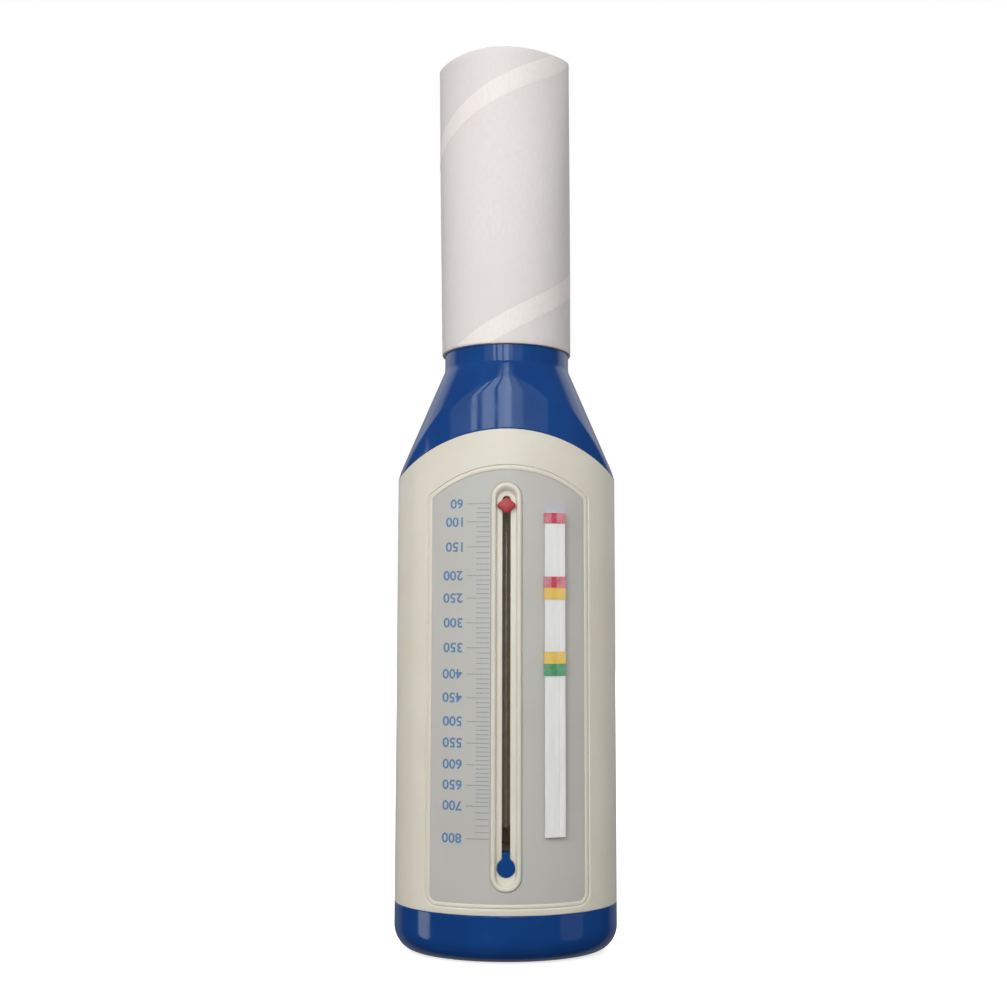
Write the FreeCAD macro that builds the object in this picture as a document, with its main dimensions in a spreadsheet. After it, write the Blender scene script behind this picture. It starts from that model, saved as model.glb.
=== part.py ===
import FreeCAD, Part
import math
import os

import Sketcher

# A peak flow meter that stands on its flat base with the mouthpiece up.
# +Z is up, the scale faces -Y, and the origin is the middle of the base.
# Lengths are in millimetres and angles in degrees.

SIZES = {
    # Cardboard mouthpiece
    "tube_outer_radius": 15.0,
    "tube_wall": 1.0,
    "tube_length": 69.9,
    # Spigot and neck that carry the mouthpiece
    "spigot_clearance": 0.05,
    "spigot_wall": 1.45,
    "spigot_length": 17.0,
    "spigot_chamfer": 0.6,
    "neck_inset": 0.6,
    "neck_height": 4.2,
    # Shoulder, a cone that runs into the elliptical body
    "shoulder_step": 0.15,
    "shoulder_height": 25.15,
    # How far the cone would pass outside the body at the ends of the arch
    "shoulder_overhang": 0.18,
    "shoulder_wall": 1.8,
    # Body section and heights
    "body_width": 50.1,
    "body_depth": 30.8,
    "sleeve_wall": 1.8,
    "sleeve_side_height": 94.9,
    "arch_rise": 10.1,
    # Skirts of the two caps inside the sleeve
    "skirt_clearance": 0.1,
    "skirt_wall": 1.5,
    "top_skirt_depth": 1.75,
    "bottom_skirt_rise": 4.15,
    # Bottom cap
    "base_height": 10.85,
    "base_edge_radius": 5.8,
    "base_floor": 2.2,
    "vent_radius": 1.6,
    # Barrel and its gaskets
    "barrel_gap": 0.3,
    "barrel_wall": 1.2,
    "barrel_slot_margin": 0.3,
    "gasket_thickness": 1.0,
    "gasket_lip": 0.7,
    # Piston
    "piston_clearance": 0.1,
    "piston_seat_gap": 0.3,
    "piston_thickness": 2.6,
    "piston_web": 1.2,
    "piston_rim_wall": 1.0,
    "piston_hub_wall": 1.2,
    "bush_wall": 1.4,
    "bush_collar_height": 1.2,
    "clip_thickness": 0.4,
    "clip_wall": 0.8,
    "clip_groove_depth": 0.3,
    "clip_mouth": 1.6,
    # Rod and what holds it
    "rod_radius": 0.8,
    "rod_running_clearance": 0.05,
    "rod_end_margin": 0.6,
    "spider_drop": 7.3,
    "spider_clearance": 0.05,
    "spider_thickness": 3.0,
    "spider_rim_wall": 1.2,
    "spider_arm_width": 1.6,
    "spider_hub_radius": 2.8,
    "nut_across_flats": 3.2,
    "nut_thickness": 1.3,
    "boss_radius": 3.6,
    "boss_height": 6.0,
    "foot_bush_wall": 1.0,
    "foot_bush_depth": 5.0,
    # Stop at the lower end of the travel
    "spacer_wall": 1.2,
    "bump_thickness": 3.0,
    "bump_wall": 2.2,
    "bump_gap": 0.3,
    # Return spring
    "spring_radius": 1.9,
    "spring_wire_radius": 0.2,
    "spring_pitch": 1.0,
    "spring_end_gap": 0.2,
    # Slot, its raised rim and the plug that closes it
    "slot_width": 1.8,
    "slot_top_margin": 0.4,
    "rim_width": 6.85,
    "rim_wall": 1.25,
    "rim_rise": 0.4,
    "rim_floor_depth": 0.6,
    "rim_top_margin": 3.1,
    "rim_bottom_margin": 5.1,
    "plug_radius": 1.95,
    "plug_clearance": 0.05,
    "plug_neck_rise": 3.2,
    "plug_front_inset": 0.2,
    "plug_top_gap": 0.1,
    # Pointer
    "pointer_travel": 73.0,
    "pointer_width": 4.0,
    "pointer_height": 3.4,
    "pointer_corner_radius": 0.7,
    "pointer_thickness": 0.8,
    "felt_thickness": 0.3,
    "felt_gap": 0.05,
    "felt_width": 2.4,
    "felt_height": 1.3,
    "carriage_clearance": 0.15,
    "foot_height": 2.0,
    "foot_reach": 2.3,
    "drive_gap": 0.3,
    "flange_width": 3.4,
    "flange_thickness": 0.7,
    "flange_gap": 0.2,
    "notch_clearance": 0.35,
    # Scale panel
    "panel_width": 35.9,
    "panel_bottom_margin": 1.3,
    "panel_side_height": 88.9,
    "panel_rise": 6.8,
    "panel_recess": 0.6,
    "panel_thickness": 0.5,
    "panel_edge_gap": 0.15,
    # Zone rail on the right of the slot
    "rail_offset": 10.65,
    "rail_top_drop": 1.5,
    "rail_length": 70.0,
    "rail_head_width": 4.4,
    "rail_head_thickness": 0.5,
    "rail_head_stand": 1.0,
    "rail_stem_width": 2.8,
    "rail_seat_depth": 1.3,
    "rail_seat_clearance": 0.05,
    # Zone markers that clip over the rail
    "marker_clearance": 0.1,
    "marker_wall": 0.35,
    "marker_lip": 0.3,
    "upper_marker_drop": 0.1,
    "upper_marker_height": 2.3,
    "middle_marker_drop": 14.1,
    "middle_marker_half_height": 2.45,
    "lower_marker_drop": 30.4,
    "lower_marker_half_height": 2.6,
    # How far a cutting shape reaches past what it cuts
    "cutter_overrun": 1.0,
}

DERIVED = {
    # Mouthpiece, spigot and neck
    "tube_inner_radius": "tube_outer_radius - tube_wall",
    "spigot_radius": "tube_inner_radius - spigot_clearance",
    "spigot_bore": "spigot_radius - spigot_wall",
    "neck_radius": "tube_outer_radius - neck_inset",
    "shoulder_top_radius": "neck_radius + shoulder_step",
    # Body levels, from the base up
    "half_width": "body_width / 2",
    "half_depth": "body_depth / 2",
    "arch_end_z": "base_height + sleeve_side_height",
    "arch_top_z": "arch_end_z + arch_rise",
    "arch_radius": "(half_width ^ 2 + arch_rise ^ 2) / (2 * arch_rise)",
    "neck_base_z": "arch_end_z + shoulder_height",
    "tube_seat_z": "neck_base_z + neck_height",
    "spigot_top_z": "tube_seat_z + spigot_length",
    # Vents lie midway between the boss and the edge of the flat underside
    "vent_circle_radius": "(boss_radius + half_depth - base_edge_radius) / 2",
    "shoulder_slope": "(half_width + shoulder_overhang - shoulder_top_radius) / shoulder_height",
    # Inside of the sleeve and the skirts in it
    "sleeve_inner_width": "body_width - 2 * sleeve_wall",
    "sleeve_inner_depth": "body_depth - 2 * sleeve_wall",
    "skirt_width": "sleeve_inner_width - 2 * skirt_clearance",
    "skirt_depth": "sleeve_inner_depth - 2 * skirt_clearance",
    "hollow_width": "skirt_width - 2 * skirt_wall",
    "hollow_depth": "skirt_depth - 2 * skirt_wall",
    "top_skirt_z": "arch_end_z - top_skirt_depth",
    "bottom_skirt_z": "base_height + bottom_skirt_rise",
    # Barrel between its two gaskets
    "barrel_outer_radius": "sleeve_inner_depth / 2 - barrel_gap",
    "barrel_bore": "barrel_outer_radius - barrel_wall",
    "barrel_bottom_z": "bottom_skirt_z + gasket_thickness",
    "barrel_top_z": "top_skirt_z - gasket_thickness",
    # Piston under the top gasket, pointer under the piston
    "piston_radius": "barrel_bore - piston_clearance",
    "piston_top_z": "barrel_top_z - piston_seat_gap",
    "piston_bottom_z": "piston_top_z - piston_thickness",
    "foot_top_z": "piston_bottom_z - drive_gap",
    "foot_bottom_z": "foot_top_z - foot_height",
    "pointer_z": "foot_top_z - foot_height / 2",
    "bush_bore": "rod_radius + rod_running_clearance",
    "bush_radius": "bush_bore + bush_wall",
    "bush_top_z": "piston_top_z + bush_collar_height",
    "clip_z": "bush_top_z - clip_thickness - (bush_collar_height - clip_thickness) / 2",
    "clip_inner_radius": "bush_radius - clip_groove_depth",
    # Rod supports
    "spider_z": "neck_base_z - spider_drop",
    "spider_top_z": "spider_z + spider_thickness",
    "nut_top_z": "spider_top_z + nut_thickness",
    "rod_top_z": "nut_top_z + rod_end_margin",
    "boss_top_z": "base_floor + boss_height",
    "foot_bush_z": "boss_top_z - foot_bush_depth",
    "foot_bush_radius": "rod_radius + foot_bush_wall",
    "bump_top_z": "piston_bottom_z - pointer_travel - bump_gap",
    "bump_bottom_z": "bump_top_z - bump_thickness",
    # Spring between the bush and the spider
    "spring_low_z": "bush_top_z + spring_end_gap + spring_wire_radius",
    "spring_high_z": "spider_z - spring_end_gap - spring_wire_radius",
    # Slot levels
    "slot_top_z": "pointer_z + pointer_height / 2 + slot_top_margin",
    "plug_top_z": "pointer_z - pointer_travel - pointer_height / 2 - plug_top_gap",
    "keyhole_z": "plug_top_z - plug_neck_rise",
    "rim_top_z": "slot_top_z + rim_top_margin",
    "rim_bottom_z": "keyhole_z - rim_bottom_margin",
    "rim_inner_width": "rim_width - 2 * rim_wall",
    "rim_front_y": "-(half_depth + rim_rise)",
    "rim_floor_y": "-(half_depth - rim_floor_depth)",
    # Pointer depths, from the rim's floor to the barrel's inside
    "felt_back_y": "rim_floor_y - felt_gap",
    "pointer_back_y": "felt_back_y - felt_thickness",
    "pointer_front_y": "pointer_back_y - pointer_thickness",
    "pointer_corner_angle": "atan(pointer_height / pointer_width)",
    "pointer_sharp_width": "pointer_width + 2 * pointer_corner_radius * (1 / sin(pointer_corner_angle) - 1)",
    "pointer_sharp_height": "pointer_height + 2 * pointer_corner_radius * (1 / cos(pointer_corner_angle) - 1)",
    "carriage_width": "slot_width - 2 * carriage_clearance",
    "foot_inner_y": "-(barrel_bore - foot_reach)",
    "flange_front_y": "-(sqrt(barrel_bore ^ 2 - (flange_width / 2) ^ 2) - flange_gap)",
    # Scale panel
    "panel_bottom_z": "base_height + panel_bottom_margin",
    "panel_spring_z": "panel_bottom_z + panel_side_height",
    "panel_top_z": "panel_spring_z + panel_rise",
    "panel_radius": "((panel_width / 2) ^ 2 + panel_rise ^ 2) / (2 * panel_rise)",
    # Zone rail, which lies flush on the curved front
    "rail_share": "rail_offset / half_width",
    "rail_y": "-half_depth * sqrt(1 - rail_share ^ 2)",
    "rail_angle": "atan(half_depth / half_width * rail_share / sqrt(1 - rail_share ^ 2))",
    "rail_top_z": "pointer_z - rail_top_drop",
    "rail_bottom_z": "rail_top_z - rail_length",
    "marker_inner_width": "rail_head_width + 2 * marker_clearance",
    "marker_width": "marker_inner_width + 2 * marker_wall",
    "marker_head_gap": "rail_head_thickness + 2 * marker_clearance",
}

# Blocks cut by the arch start below its ends, where the arch is wider than the body.
BELOW_ARCH_END = "arch_end_z - arch_rise / 2"

# Lengths below this one count as nothing when edges are looked for.
TOLERANCE = 0.001

PARTS = []


def fill_sheet(doc):
    """Put every size and every derived size in the sheet, each with an alias."""
    sheet = doc.addObject("Spreadsheet::Sheet", "Sizes")
    rows = [(alias, str(value)) for alias, value in SIZES.items()]
    rows += [(alias, "=" + formula) for alias, formula in DERIVED.items()]
    for row, (alias, content) in enumerate(rows, start=1):
        sheet.set(f"A{row}", alias)
        sheet.set(f"B{row}", content)
        sheet.setAlias(f"B{row}", alias)
    doc.recompute()
    return sheet


def sized(formula):
    """Give a formula whose words are sizes the sheet's name before each word."""
    known = sorted(list(SIZES) + list(DERIVED), key=len, reverse=True)
    text = ""
    place = 0
    while place < len(formula):
        word = ""
        while place < len(formula) and (formula[place].isalnum() or formula[place] == "_"):
            word += formula[place]
            place += 1
        if word:
            text += "Sizes." + word if word in known else word
        else:
            text += formula[place]
            place += 1
    return text


def bind(obj, **formulas):
    """Bind properties of an object to formulas of the sheet's sizes."""
    for name, formula in formulas.items():
        obj.setExpression(name, sized(formula))


def place(obj, x="0", y="0", z="0"):
    """Bind the position of an object."""
    for axis, formula in (("x", x), ("y", y), ("z", z)):
        obj.setExpression("Placement.Base." + axis, sized(formula))
    return obj


def finish(obj, node):
    """Name the finished sub-part after its node."""
    obj.Label = node
    PARTS.append(obj)
    return obj


def cylinder(doc, name, radius, bottom, top, x="0", y="0"):
    """Upright cylinder between two levels."""
    obj = doc.addObject("Part::Cylinder", name)
    bind(obj, Radius=radius, Height=f"{top} - ({bottom})")
    return place(obj, x, y, bottom)


def cylinder_along_y(doc, name, radius, front, back, z, x="0"):
    """Cylinder whose axis runs from front to back."""
    obj = doc.addObject("Part::Cylinder", name)
    bind(obj, Radius=radius, Height=f"{back} - ({front})")
    obj.Placement.Rotation = FreeCAD.Rotation(FreeCAD.Vector(1, 0, 0), 90)
    return place(obj, x, back, z)


def box(doc, name, width, front, back, bottom, top, x="0"):
    """Block centred on x, from front to back and from bottom to top."""
    obj = doc.addObject("Part::Box", name)
    bind(obj, Length=width, Width=f"{back} - ({front})", Height=f"{top} - ({bottom})")
    return place(obj, f"{x} - ({width}) / 2", front, bottom)


def elliptic_prism(doc, name, width, depth, bottom, top):
    """Upright prism with an elliptical section, wider than deep."""
    outline = doc.addObject("Part::Ellipse", name + "_outline")
    bind(outline, MajorRadius=f"({width}) / 2", MinorRadius=f"({depth}) / 2")
    place(outline, z=bottom)
    prism = doc.addObject("Part::Extrusion", name)
    prism.Base = outline
    prism.DirMode = "Custom"
    prism.Dir = FreeCAD.Vector(0, 0, 1)
    prism.Solid = True
    bind(prism, LengthFwd=f"{top} - ({bottom})")
    return prism


def stadium(doc, name, width, front, back, bottom, top):
    """Upright slot shape with round ends, extruded from front to back."""
    radius = f"({width}) / 2"
    low = f"{bottom} + {radius}"
    high = f"{top} - {radius}"
    middle = box(doc, name + "_middle", width, front, back, low, high)
    lower = cylinder_along_y(doc, name + "_low_end", radius, front, back, low)
    upper = cylinder_along_y(doc, name + "_high_end", radius, front, back, high)
    return fuse(doc, name, middle, lower, upper)


def arched_block(doc, name, margin, front, back):
    """Outline of the scale panel, pulled in by a margin, from front to back."""
    width = f"panel_width - 2 * ({margin})"
    bottom = f"panel_bottom_z + ({margin})"
    radius = f"panel_radius - ({margin})"
    straight = box(doc, name + "_straight", width, front, back, bottom, "panel_spring_z")
    crown = box(doc, name + "_crown", width, front, back, "panel_spring_z", "panel_top_z")
    circle = cylinder_along_y(doc, name + "_circle", radius, front, back, "panel_top_z - panel_radius")
    arch = common(doc, name + "_arch", crown, circle)
    return fuse(doc, name, straight, arch)


def fuse(doc, name, *shapes):
    obj = doc.addObject("Part::MultiFuse", name)
    obj.Shapes = list(shapes)
    obj.Refine = False
    return obj


def common(doc, name, first, second):
    obj = doc.addObject("Part::MultiCommon", name)
    obj.Shapes = [first, second]
    obj.Refine = False
    return obj


def cut(doc, name, base, *tools):
    """Take one or more tools from a base."""
    result = base
    for count, tool in enumerate(tools, start=1):
        last = count == len(tools)
        step = doc.addObject("Part::Cut", name if last else f"{name}_step_{count}")
        step.Base = result
        step.Tool = tool
        step.Refine = False
        result = step
    return result


def ring(doc, name, outer, inner, bottom, top):
    """Upright ring between two levels."""
    solid = cylinder(doc, name + "_outer", outer, bottom, top)
    hole = cylinder(doc, name + "_inner", inner, bottom, top)
    return cut(doc, name, solid, hole)


def origin_feature(body, role):
    """One of the body's own planes or axes, found by its role."""
    for feature in body.Origin.OriginFeatures:
        if feature.Role == role:
            return feature
    raise RuntimeError("no feature " + role)


def new_sketch(body, name, role, offset):
    """Sketch on one of the body's own planes, moved along that plane's normal."""
    sketch = body.newObject("Sketcher::SketchObject", name)
    sketch.AttachmentSupport = [(origin_feature(body, role), "")]
    sketch.MapMode = "FlatFace"
    sketch.setExpression("AttachmentOffset.Base.z", sized(offset))
    return sketch


def add_circle(sketch, radius):
    """Circle about the sketch's origin with its radius bound."""
    start = 5.0
    index = sketch.addGeometry(Part.Circle(FreeCAD.Vector(), FreeCAD.Vector(0, 0, 1), start), False)
    sketch.addConstraint(Sketcher.Constraint("Coincident", index, 3, -1, 1))
    constraint = sketch.addConstraint(Sketcher.Constraint("Radius", index, start))
    sketch.setExpression(f"Constraints[{constraint}]", sized(radius))


def add_ellipse(sketch, width, depth):
    """Ellipse about the sketch's origin, its axes bound to a width and a depth."""
    start = 10.0
    side, front = FreeCAD.Vector(2 * start, 0, 0), FreeCAD.Vector(0, start, 0)
    index = sketch.addGeometry(Part.Ellipse(side, front, FreeCAD.Vector()), False)
    sketch.exposeInternalGeometry(index)
    sketch.addConstraint(Sketcher.Constraint("Coincident", index, 3, -1, 1))
    sketch.addConstraint(Sketcher.Constraint("Horizontal", index + 1))
    for line, length, formula in ((index + 1, 4 * start, width), (index + 2, 2 * start, depth)):
        constraint = sketch.addConstraint(Sketcher.Constraint("Distance", line, 1, line, 2, length))
        sketch.setExpression(f"Constraints[{constraint}]", sized(formula))


def pad(body, sketch, name, length):
    feature = body.newObject("PartDesign::Pad", name)
    feature.Profile = sketch
    bind(feature, Length=length)
    return feature


def edges_at(shape, level):
    """Names of the edges that lie in the plane z = level."""
    names = []
    for number, edge in enumerate(shape.Edges, start=1):
        limits = edge.BoundBox
        if abs(limits.ZMin - level) < TOLERANCE and abs(limits.ZMax - level) < TOLERANCE:
            names.append(f"Edge{number}")
    return names


def make_mouthpiece_tube(doc):
    """Spiral-wound cardboard tube that stands on the neck, round the spigot."""
    body = doc.addObject("PartDesign::Body", "TubeBody")
    sketch = new_sketch(body, "TubeSection", "XY_Plane", "tube_seat_z")
    add_circle(sketch, "tube_outer_radius")
    add_circle(sketch, "tube_inner_radius")
    pad(body, sketch, "TubePad", "tube_length")
    return finish(body, "mouthpiece_tube")


def shoulder_cone(doc, name, inset, bottom, top):
    """Cone of the shoulder between two levels, pulled in by an inset."""
    obj = doc.addObject("Part::Cone", name)
    radius = "shoulder_top_radius - ({inset}) + (neck_base_z - ({level})) * shoulder_slope"
    bind(
        obj,
        Radius1=radius.format(inset=inset, level=bottom),
        Radius2=radius.format(inset=inset, level=top),
        Height=f"{top} - ({bottom})",
    )
    return place(obj, z=bottom)


def arch_cylinder(doc, name):
    """Cylinder whose top is the arched seam between the sleeve and the top cap."""
    return cylinder_along_y(
        doc, name, "arch_radius", "-body_depth", "body_depth", "arch_top_z - arch_radius"
    )


def make_top_cap(doc):
    """Neck, spigot and shoulder, with a skirt in the sleeve and a collar over the barrel."""
    prism = elliptic_prism(doc, "ShoulderPrism", "body_width", "body_depth", BELOW_ARCH_END, "neck_base_z")
    cone = shoulder_cone(doc, "ShoulderCone", "0", BELOW_ARCH_END, "neck_base_z")
    outside = common(doc, "ShoulderOutside", prism, cone)
    outside = cut(doc, "ShoulderAboveArch", outside, arch_cylinder(doc, "CapArch"))
    skirt_prism = elliptic_prism(doc, "SkirtPrism", "skirt_width", "skirt_depth", "top_skirt_z", "neck_base_z")
    skirt_cone = shoulder_cone(doc, "SkirtCone", "0", "top_skirt_z", "neck_base_z")
    skirt = common(doc, "Skirt", skirt_prism, skirt_cone)
    neck = cylinder(doc, "Neck", "neck_radius", "neck_base_z", "tube_seat_z")
    spigot = cylinder(doc, "Spigot", "spigot_radius", "tube_seat_z", "spigot_top_z - spigot_chamfer")
    tip = doc.addObject("Part::Cone", "SpigotTip")
    bind(tip, Radius1="spigot_radius", Radius2="spigot_radius - spigot_chamfer", Height="spigot_chamfer")
    place(tip, z="spigot_top_z - spigot_chamfer")
    solid = fuse(doc, "CapSolid", outside, skirt, neck, spigot, tip)

    hollow_prism = elliptic_prism(
        doc, "HollowPrism", "hollow_width", "hollow_depth", "top_skirt_z", "neck_base_z - shoulder_wall"
    )
    hollow_cone = shoulder_cone(doc, "HollowCone", "shoulder_wall", "top_skirt_z", "neck_base_z - shoulder_wall")
    hollow = common(doc, "HollowShape", hollow_prism, hollow_cone)
    collar = cylinder(doc, "Collar", "barrel_outer_radius", "top_skirt_z", "neck_base_z - shoulder_wall")
    side_hollows = cut(doc, "SideHollows", hollow, collar)
    lower_bore = cylinder(doc, "CollarBore", "barrel_bore", "top_skirt_z", "spider_z")
    upper_bore = cylinder(doc, "SpigotBore", "spigot_bore", "spider_z", "spigot_top_z")
    cap = cut(doc, "TopCap", solid, side_hollows, lower_bore, upper_bore)
    return finish(cap, "top_cap")


def panel_recess(doc, name):
    """Shallow recess in the sleeve's front that follows the curved surface."""
    block = arched_block(doc, name + "_block", "0", "-body_depth", "0")
    core = elliptic_prism(
        doc,
        name + "_core",
        "body_width - 2 * panel_recess",
        "body_depth - 2 * panel_recess",
        "base_height",
        "arch_top_z",
    )
    return cut(doc, name, block, core)


def rail_block(doc, name, width, front, back, bottom, top):
    """Block on the rail's own line: front and back are measured out from the curved surface."""
    block = doc.addObject("Part::Box", name)
    bind(block, Length=width, Width=f"{front} - ({back})", Height=f"{top} - ({bottom})")
    across = f"({width}) / 2"
    block.setExpression("Placement.Rotation.Angle", sized("rail_angle"))
    block.setExpression("Placement.Rotation.Axis.x", "0")
    block.setExpression("Placement.Rotation.Axis.y", "0")
    block.setExpression("Placement.Rotation.Axis.z", "1")
    return place(
        block,
        f"rail_offset - {across} * cos(rail_angle) + ({front}) * sin(rail_angle)",
        f"rail_y - {across} * sin(rail_angle) - ({front}) * cos(rail_angle)",
        bottom,
    )


def make_body_sleeve(doc):
    """Elliptical sleeve with the panel recess, the slot, its raised rim and the rail's seat."""
    outside = elliptic_prism(doc, "SleeveOutside", "body_width", "body_depth", "base_height", "arch_top_z")
    inside = elliptic_prism(
        doc, "SleeveInside", "sleeve_inner_width", "sleeve_inner_depth", "base_height", "arch_top_z"
    )
    crown = box(
        doc,
        "SleeveCrown",
        "2 * body_width",
        "-body_depth",
        "body_depth",
        BELOW_ARCH_END,
        "arch_top_z + cutter_overrun",
    )
    above_arch = cut(doc, "SleeveAboveArch", crown, arch_cylinder(doc, "SleeveArch"))
    recessed = cut(doc, "SleeveRecessed", outside, above_arch, panel_recess(doc, "SleeveRecess"))
    rim = stadium(doc, "Rim", "rim_width", "rim_front_y", "-half_depth / 2", "rim_bottom_z", "rim_top_z")
    solid = fuse(doc, "SleeveSolid", recessed, rim)
    floor = stadium(
        doc,
        "RimFloor",
        "rim_inner_width",
        "-body_depth",
        "rim_floor_y",
        "rim_bottom_z + rim_wall",
        "rim_top_z - rim_wall",
    )
    slot = box(doc, "SleeveSlot", "slot_width", "-body_depth", "0", "keyhole_z", "slot_top_z")
    keyhole = cylinder_along_y(
        doc, "SleeveKeyhole", "plug_radius + plug_clearance", "-body_depth", "0", "keyhole_z"
    )
    seat = rail_block(
        doc,
        "SleeveRailSeat",
        "rail_stem_width + 2 * rail_seat_clearance",
        "rail_head_stand",
        "-rail_seat_depth",
        "rail_bottom_z - rail_seat_clearance",
        "rail_top_z + rail_seat_clearance",
    )
    sleeve = cut(doc, "BodySleeve", solid, floor, slot, keyhole, seat, inside)
    return finish(sleeve, "body_sleeve")


def make_bottom_cap(doc):
    """Cup with a rounded lower edge, a skirt in the sleeve, a vented floor and the rod's boss."""
    body = doc.addObject("PartDesign::Body", "BaseBody")
    sketch = new_sketch(body, "BaseSection", "XY_Plane", "0")
    add_ellipse(sketch, "body_width", "body_depth")
    block = pad(body, sketch, "BasePad", "base_height")
    doc.recompute()
    fillet = body.newObject("PartDesign::Fillet", "BaseEdge")
    fillet.Base = (block, edges_at(block.Shape, 0))
    bind(fillet, Radius="base_edge_radius")

    skirt = elliptic_prism(doc, "BaseSkirt", "skirt_width", "skirt_depth", "base_height", "bottom_skirt_z")
    solid = fuse(doc, "BaseSolid", body, skirt)
    hollow = elliptic_prism(doc, "BaseHollow", "hollow_width", "hollow_depth", "base_floor", "bottom_skirt_z")
    collar = cylinder(doc, "BaseCollar", "barrel_outer_radius", "base_floor", "bottom_skirt_z")
    side_hollows = cut(doc, "BaseSideHollows", hollow, collar)
    bore = ring(doc, "BaseBore", "barrel_bore", "boss_radius", "base_floor", "bottom_skirt_z")
    above_boss = cylinder(doc, "AboveBoss", "boss_radius", "boss_top_z", "bottom_skirt_z")
    bush_seat = cylinder(doc, "FootBushSeat", "foot_bush_radius", "foot_bush_z", "boss_top_z")
    vents = make_vents(doc)
    cap = cut(doc, "BottomCap", solid, side_hollows, bore, above_boss, bush_seat, vents)
    return finish(cap, "bottom_cap")


def make_vents(doc):
    """Round vents through the floor, on a circle about the boss."""
    vents = []
    vent_count = 8
    for number in range(vent_count):
        angle = 360 * number / vent_count
        vents.append(
            cylinder(
                doc,
                f"Vent_{number + 1}",
                "vent_radius",
                "-cutter_overrun",
                "base_floor + cutter_overrun",
                f"vent_circle_radius * cos({angle})",
                f"vent_circle_radius * sin({angle})",
            )
        )
    return fuse(doc, "Vents", *vents)


def make_barrel(doc):
    """Inner barrel in which the piston runs, with its own slot behind the sleeve's."""
    wall = ring(doc, "BarrelWall", "barrel_outer_radius", "barrel_bore", "barrel_bottom_z", "barrel_top_z")
    slot = box(
        doc,
        "BarrelSlot",
        "slot_width + 2 * barrel_slot_margin",
        "-barrel_outer_radius - cutter_overrun",
        "0",
        "keyhole_z",
        "slot_top_z",
    )
    barrel = cut(doc, "Barrel", wall, slot)
    return finish(barrel, "inner_barrel")


def make_gaskets(doc):
    """Rubber rings at the barrel's ends. The top one is also the piston's upper stop."""
    lip = "barrel_bore - gasket_lip"
    top = ring(doc, "TopGasket", "barrel_outer_radius", lip, "barrel_top_z", "top_skirt_z")
    finish(top, "top_gasket")
    bottom = ring(doc, "BottomGasket", "barrel_outer_radius", lip, "bottom_skirt_z", "barrel_bottom_z")
    finish(bottom, "bottom_gasket")


def make_scale_panel(doc):
    """Thin curved panel in the sleeve's recess, open round the rim and the rail."""
    block = arched_block(doc, "PanelBlock", "panel_edge_gap", "-body_depth", "0")
    front = elliptic_prism(
        doc,
        "PanelFront",
        "body_width - 2 * (panel_recess - panel_thickness)",
        "body_depth - 2 * (panel_recess - panel_thickness)",
        "base_height",
        "arch_top_z",
    )
    back = elliptic_prism(
        doc,
        "PanelBack",
        "body_width - 2 * panel_recess",
        "body_depth - 2 * panel_recess",
        "base_height",
        "arch_top_z",
    )
    sheet = common(doc, "PanelSheet", block, front)
    window = stadium(
        doc,
        "PanelWindow",
        "rim_width + 2 * panel_edge_gap",
        "-body_depth",
        "0",
        "rim_bottom_z - panel_edge_gap",
        "rim_top_z + panel_edge_gap",
    )
    rail_window = rail_block(
        doc,
        "PanelRailWindow",
        "rail_stem_width + 2 * panel_edge_gap",
        "rail_head_stand",
        "-rail_seat_depth",
        "rail_bottom_z - panel_edge_gap",
        "rail_top_z + panel_edge_gap",
    )
    panel = cut(doc, "ScalePanel", sheet, back, window, rail_window)
    return finish(panel, "scale_panel")


def make_slot_plug(doc):
    """Keyhole-shaped plug that closes the lower end of the slot."""
    disc = cylinder_along_y(
        doc,
        "PlugDisc",
        "plug_radius",
        "-(half_depth - plug_front_inset)",
        "-sleeve_inner_depth / 2",
        "keyhole_z",
    )
    neck = box(
        doc,
        "PlugNeck",
        "slot_width - 2 * plug_clearance",
        "-(half_depth - plug_front_inset)",
        "-barrel_bore",
        "keyhole_z + plug_clearance",
        "plug_top_z",
    )
    plug = fuse(doc, "SlotPlug", disc, neck)
    return finish(plug, "slot_end_plug")


def make_zone_rail(doc):
    """White rail with a wider head, on which the zone markers slide."""
    stem = rail_block(
        doc, "RailStem", "rail_stem_width", "rail_head_stand", "-rail_seat_depth", "rail_bottom_z", "rail_top_z"
    )
    head = rail_block(
        doc,
        "RailHead",
        "rail_head_width",
        "rail_head_stand",
        "rail_head_stand - rail_head_thickness",
        "rail_bottom_z",
        "rail_top_z",
    )
    rail = fuse(doc, "ZoneRail", stem, head)
    return finish(rail, "zone_rail")


def make_marker(doc, name, node, bottom, top):
    """C-shaped clip over the rail's head, with lips that hook under it."""
    outer_front = "rail_head_stand + marker_clearance + marker_wall"
    outer_back = "rail_head_stand - rail_head_thickness - marker_clearance - marker_lip"
    outside = rail_block(doc, name + "Outside", "marker_width", outer_front, outer_back, bottom, top)
    head_space = rail_block(
        doc,
        name + "HeadSpace",
        "marker_inner_width",
        "rail_head_stand + marker_clearance",
        "rail_head_stand + marker_clearance - marker_head_gap",
        bottom,
        top,
    )
    mouth = rail_block(
        doc,
        name + "Mouth",
        "rail_stem_width + 2 * marker_clearance",
        "rail_head_stand - rail_head_thickness",
        f"{outer_back} - cutter_overrun",
        bottom,
        top,
    )
    marker = cut(doc, name, outside, head_space, mouth)
    return finish(marker, node)


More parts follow.
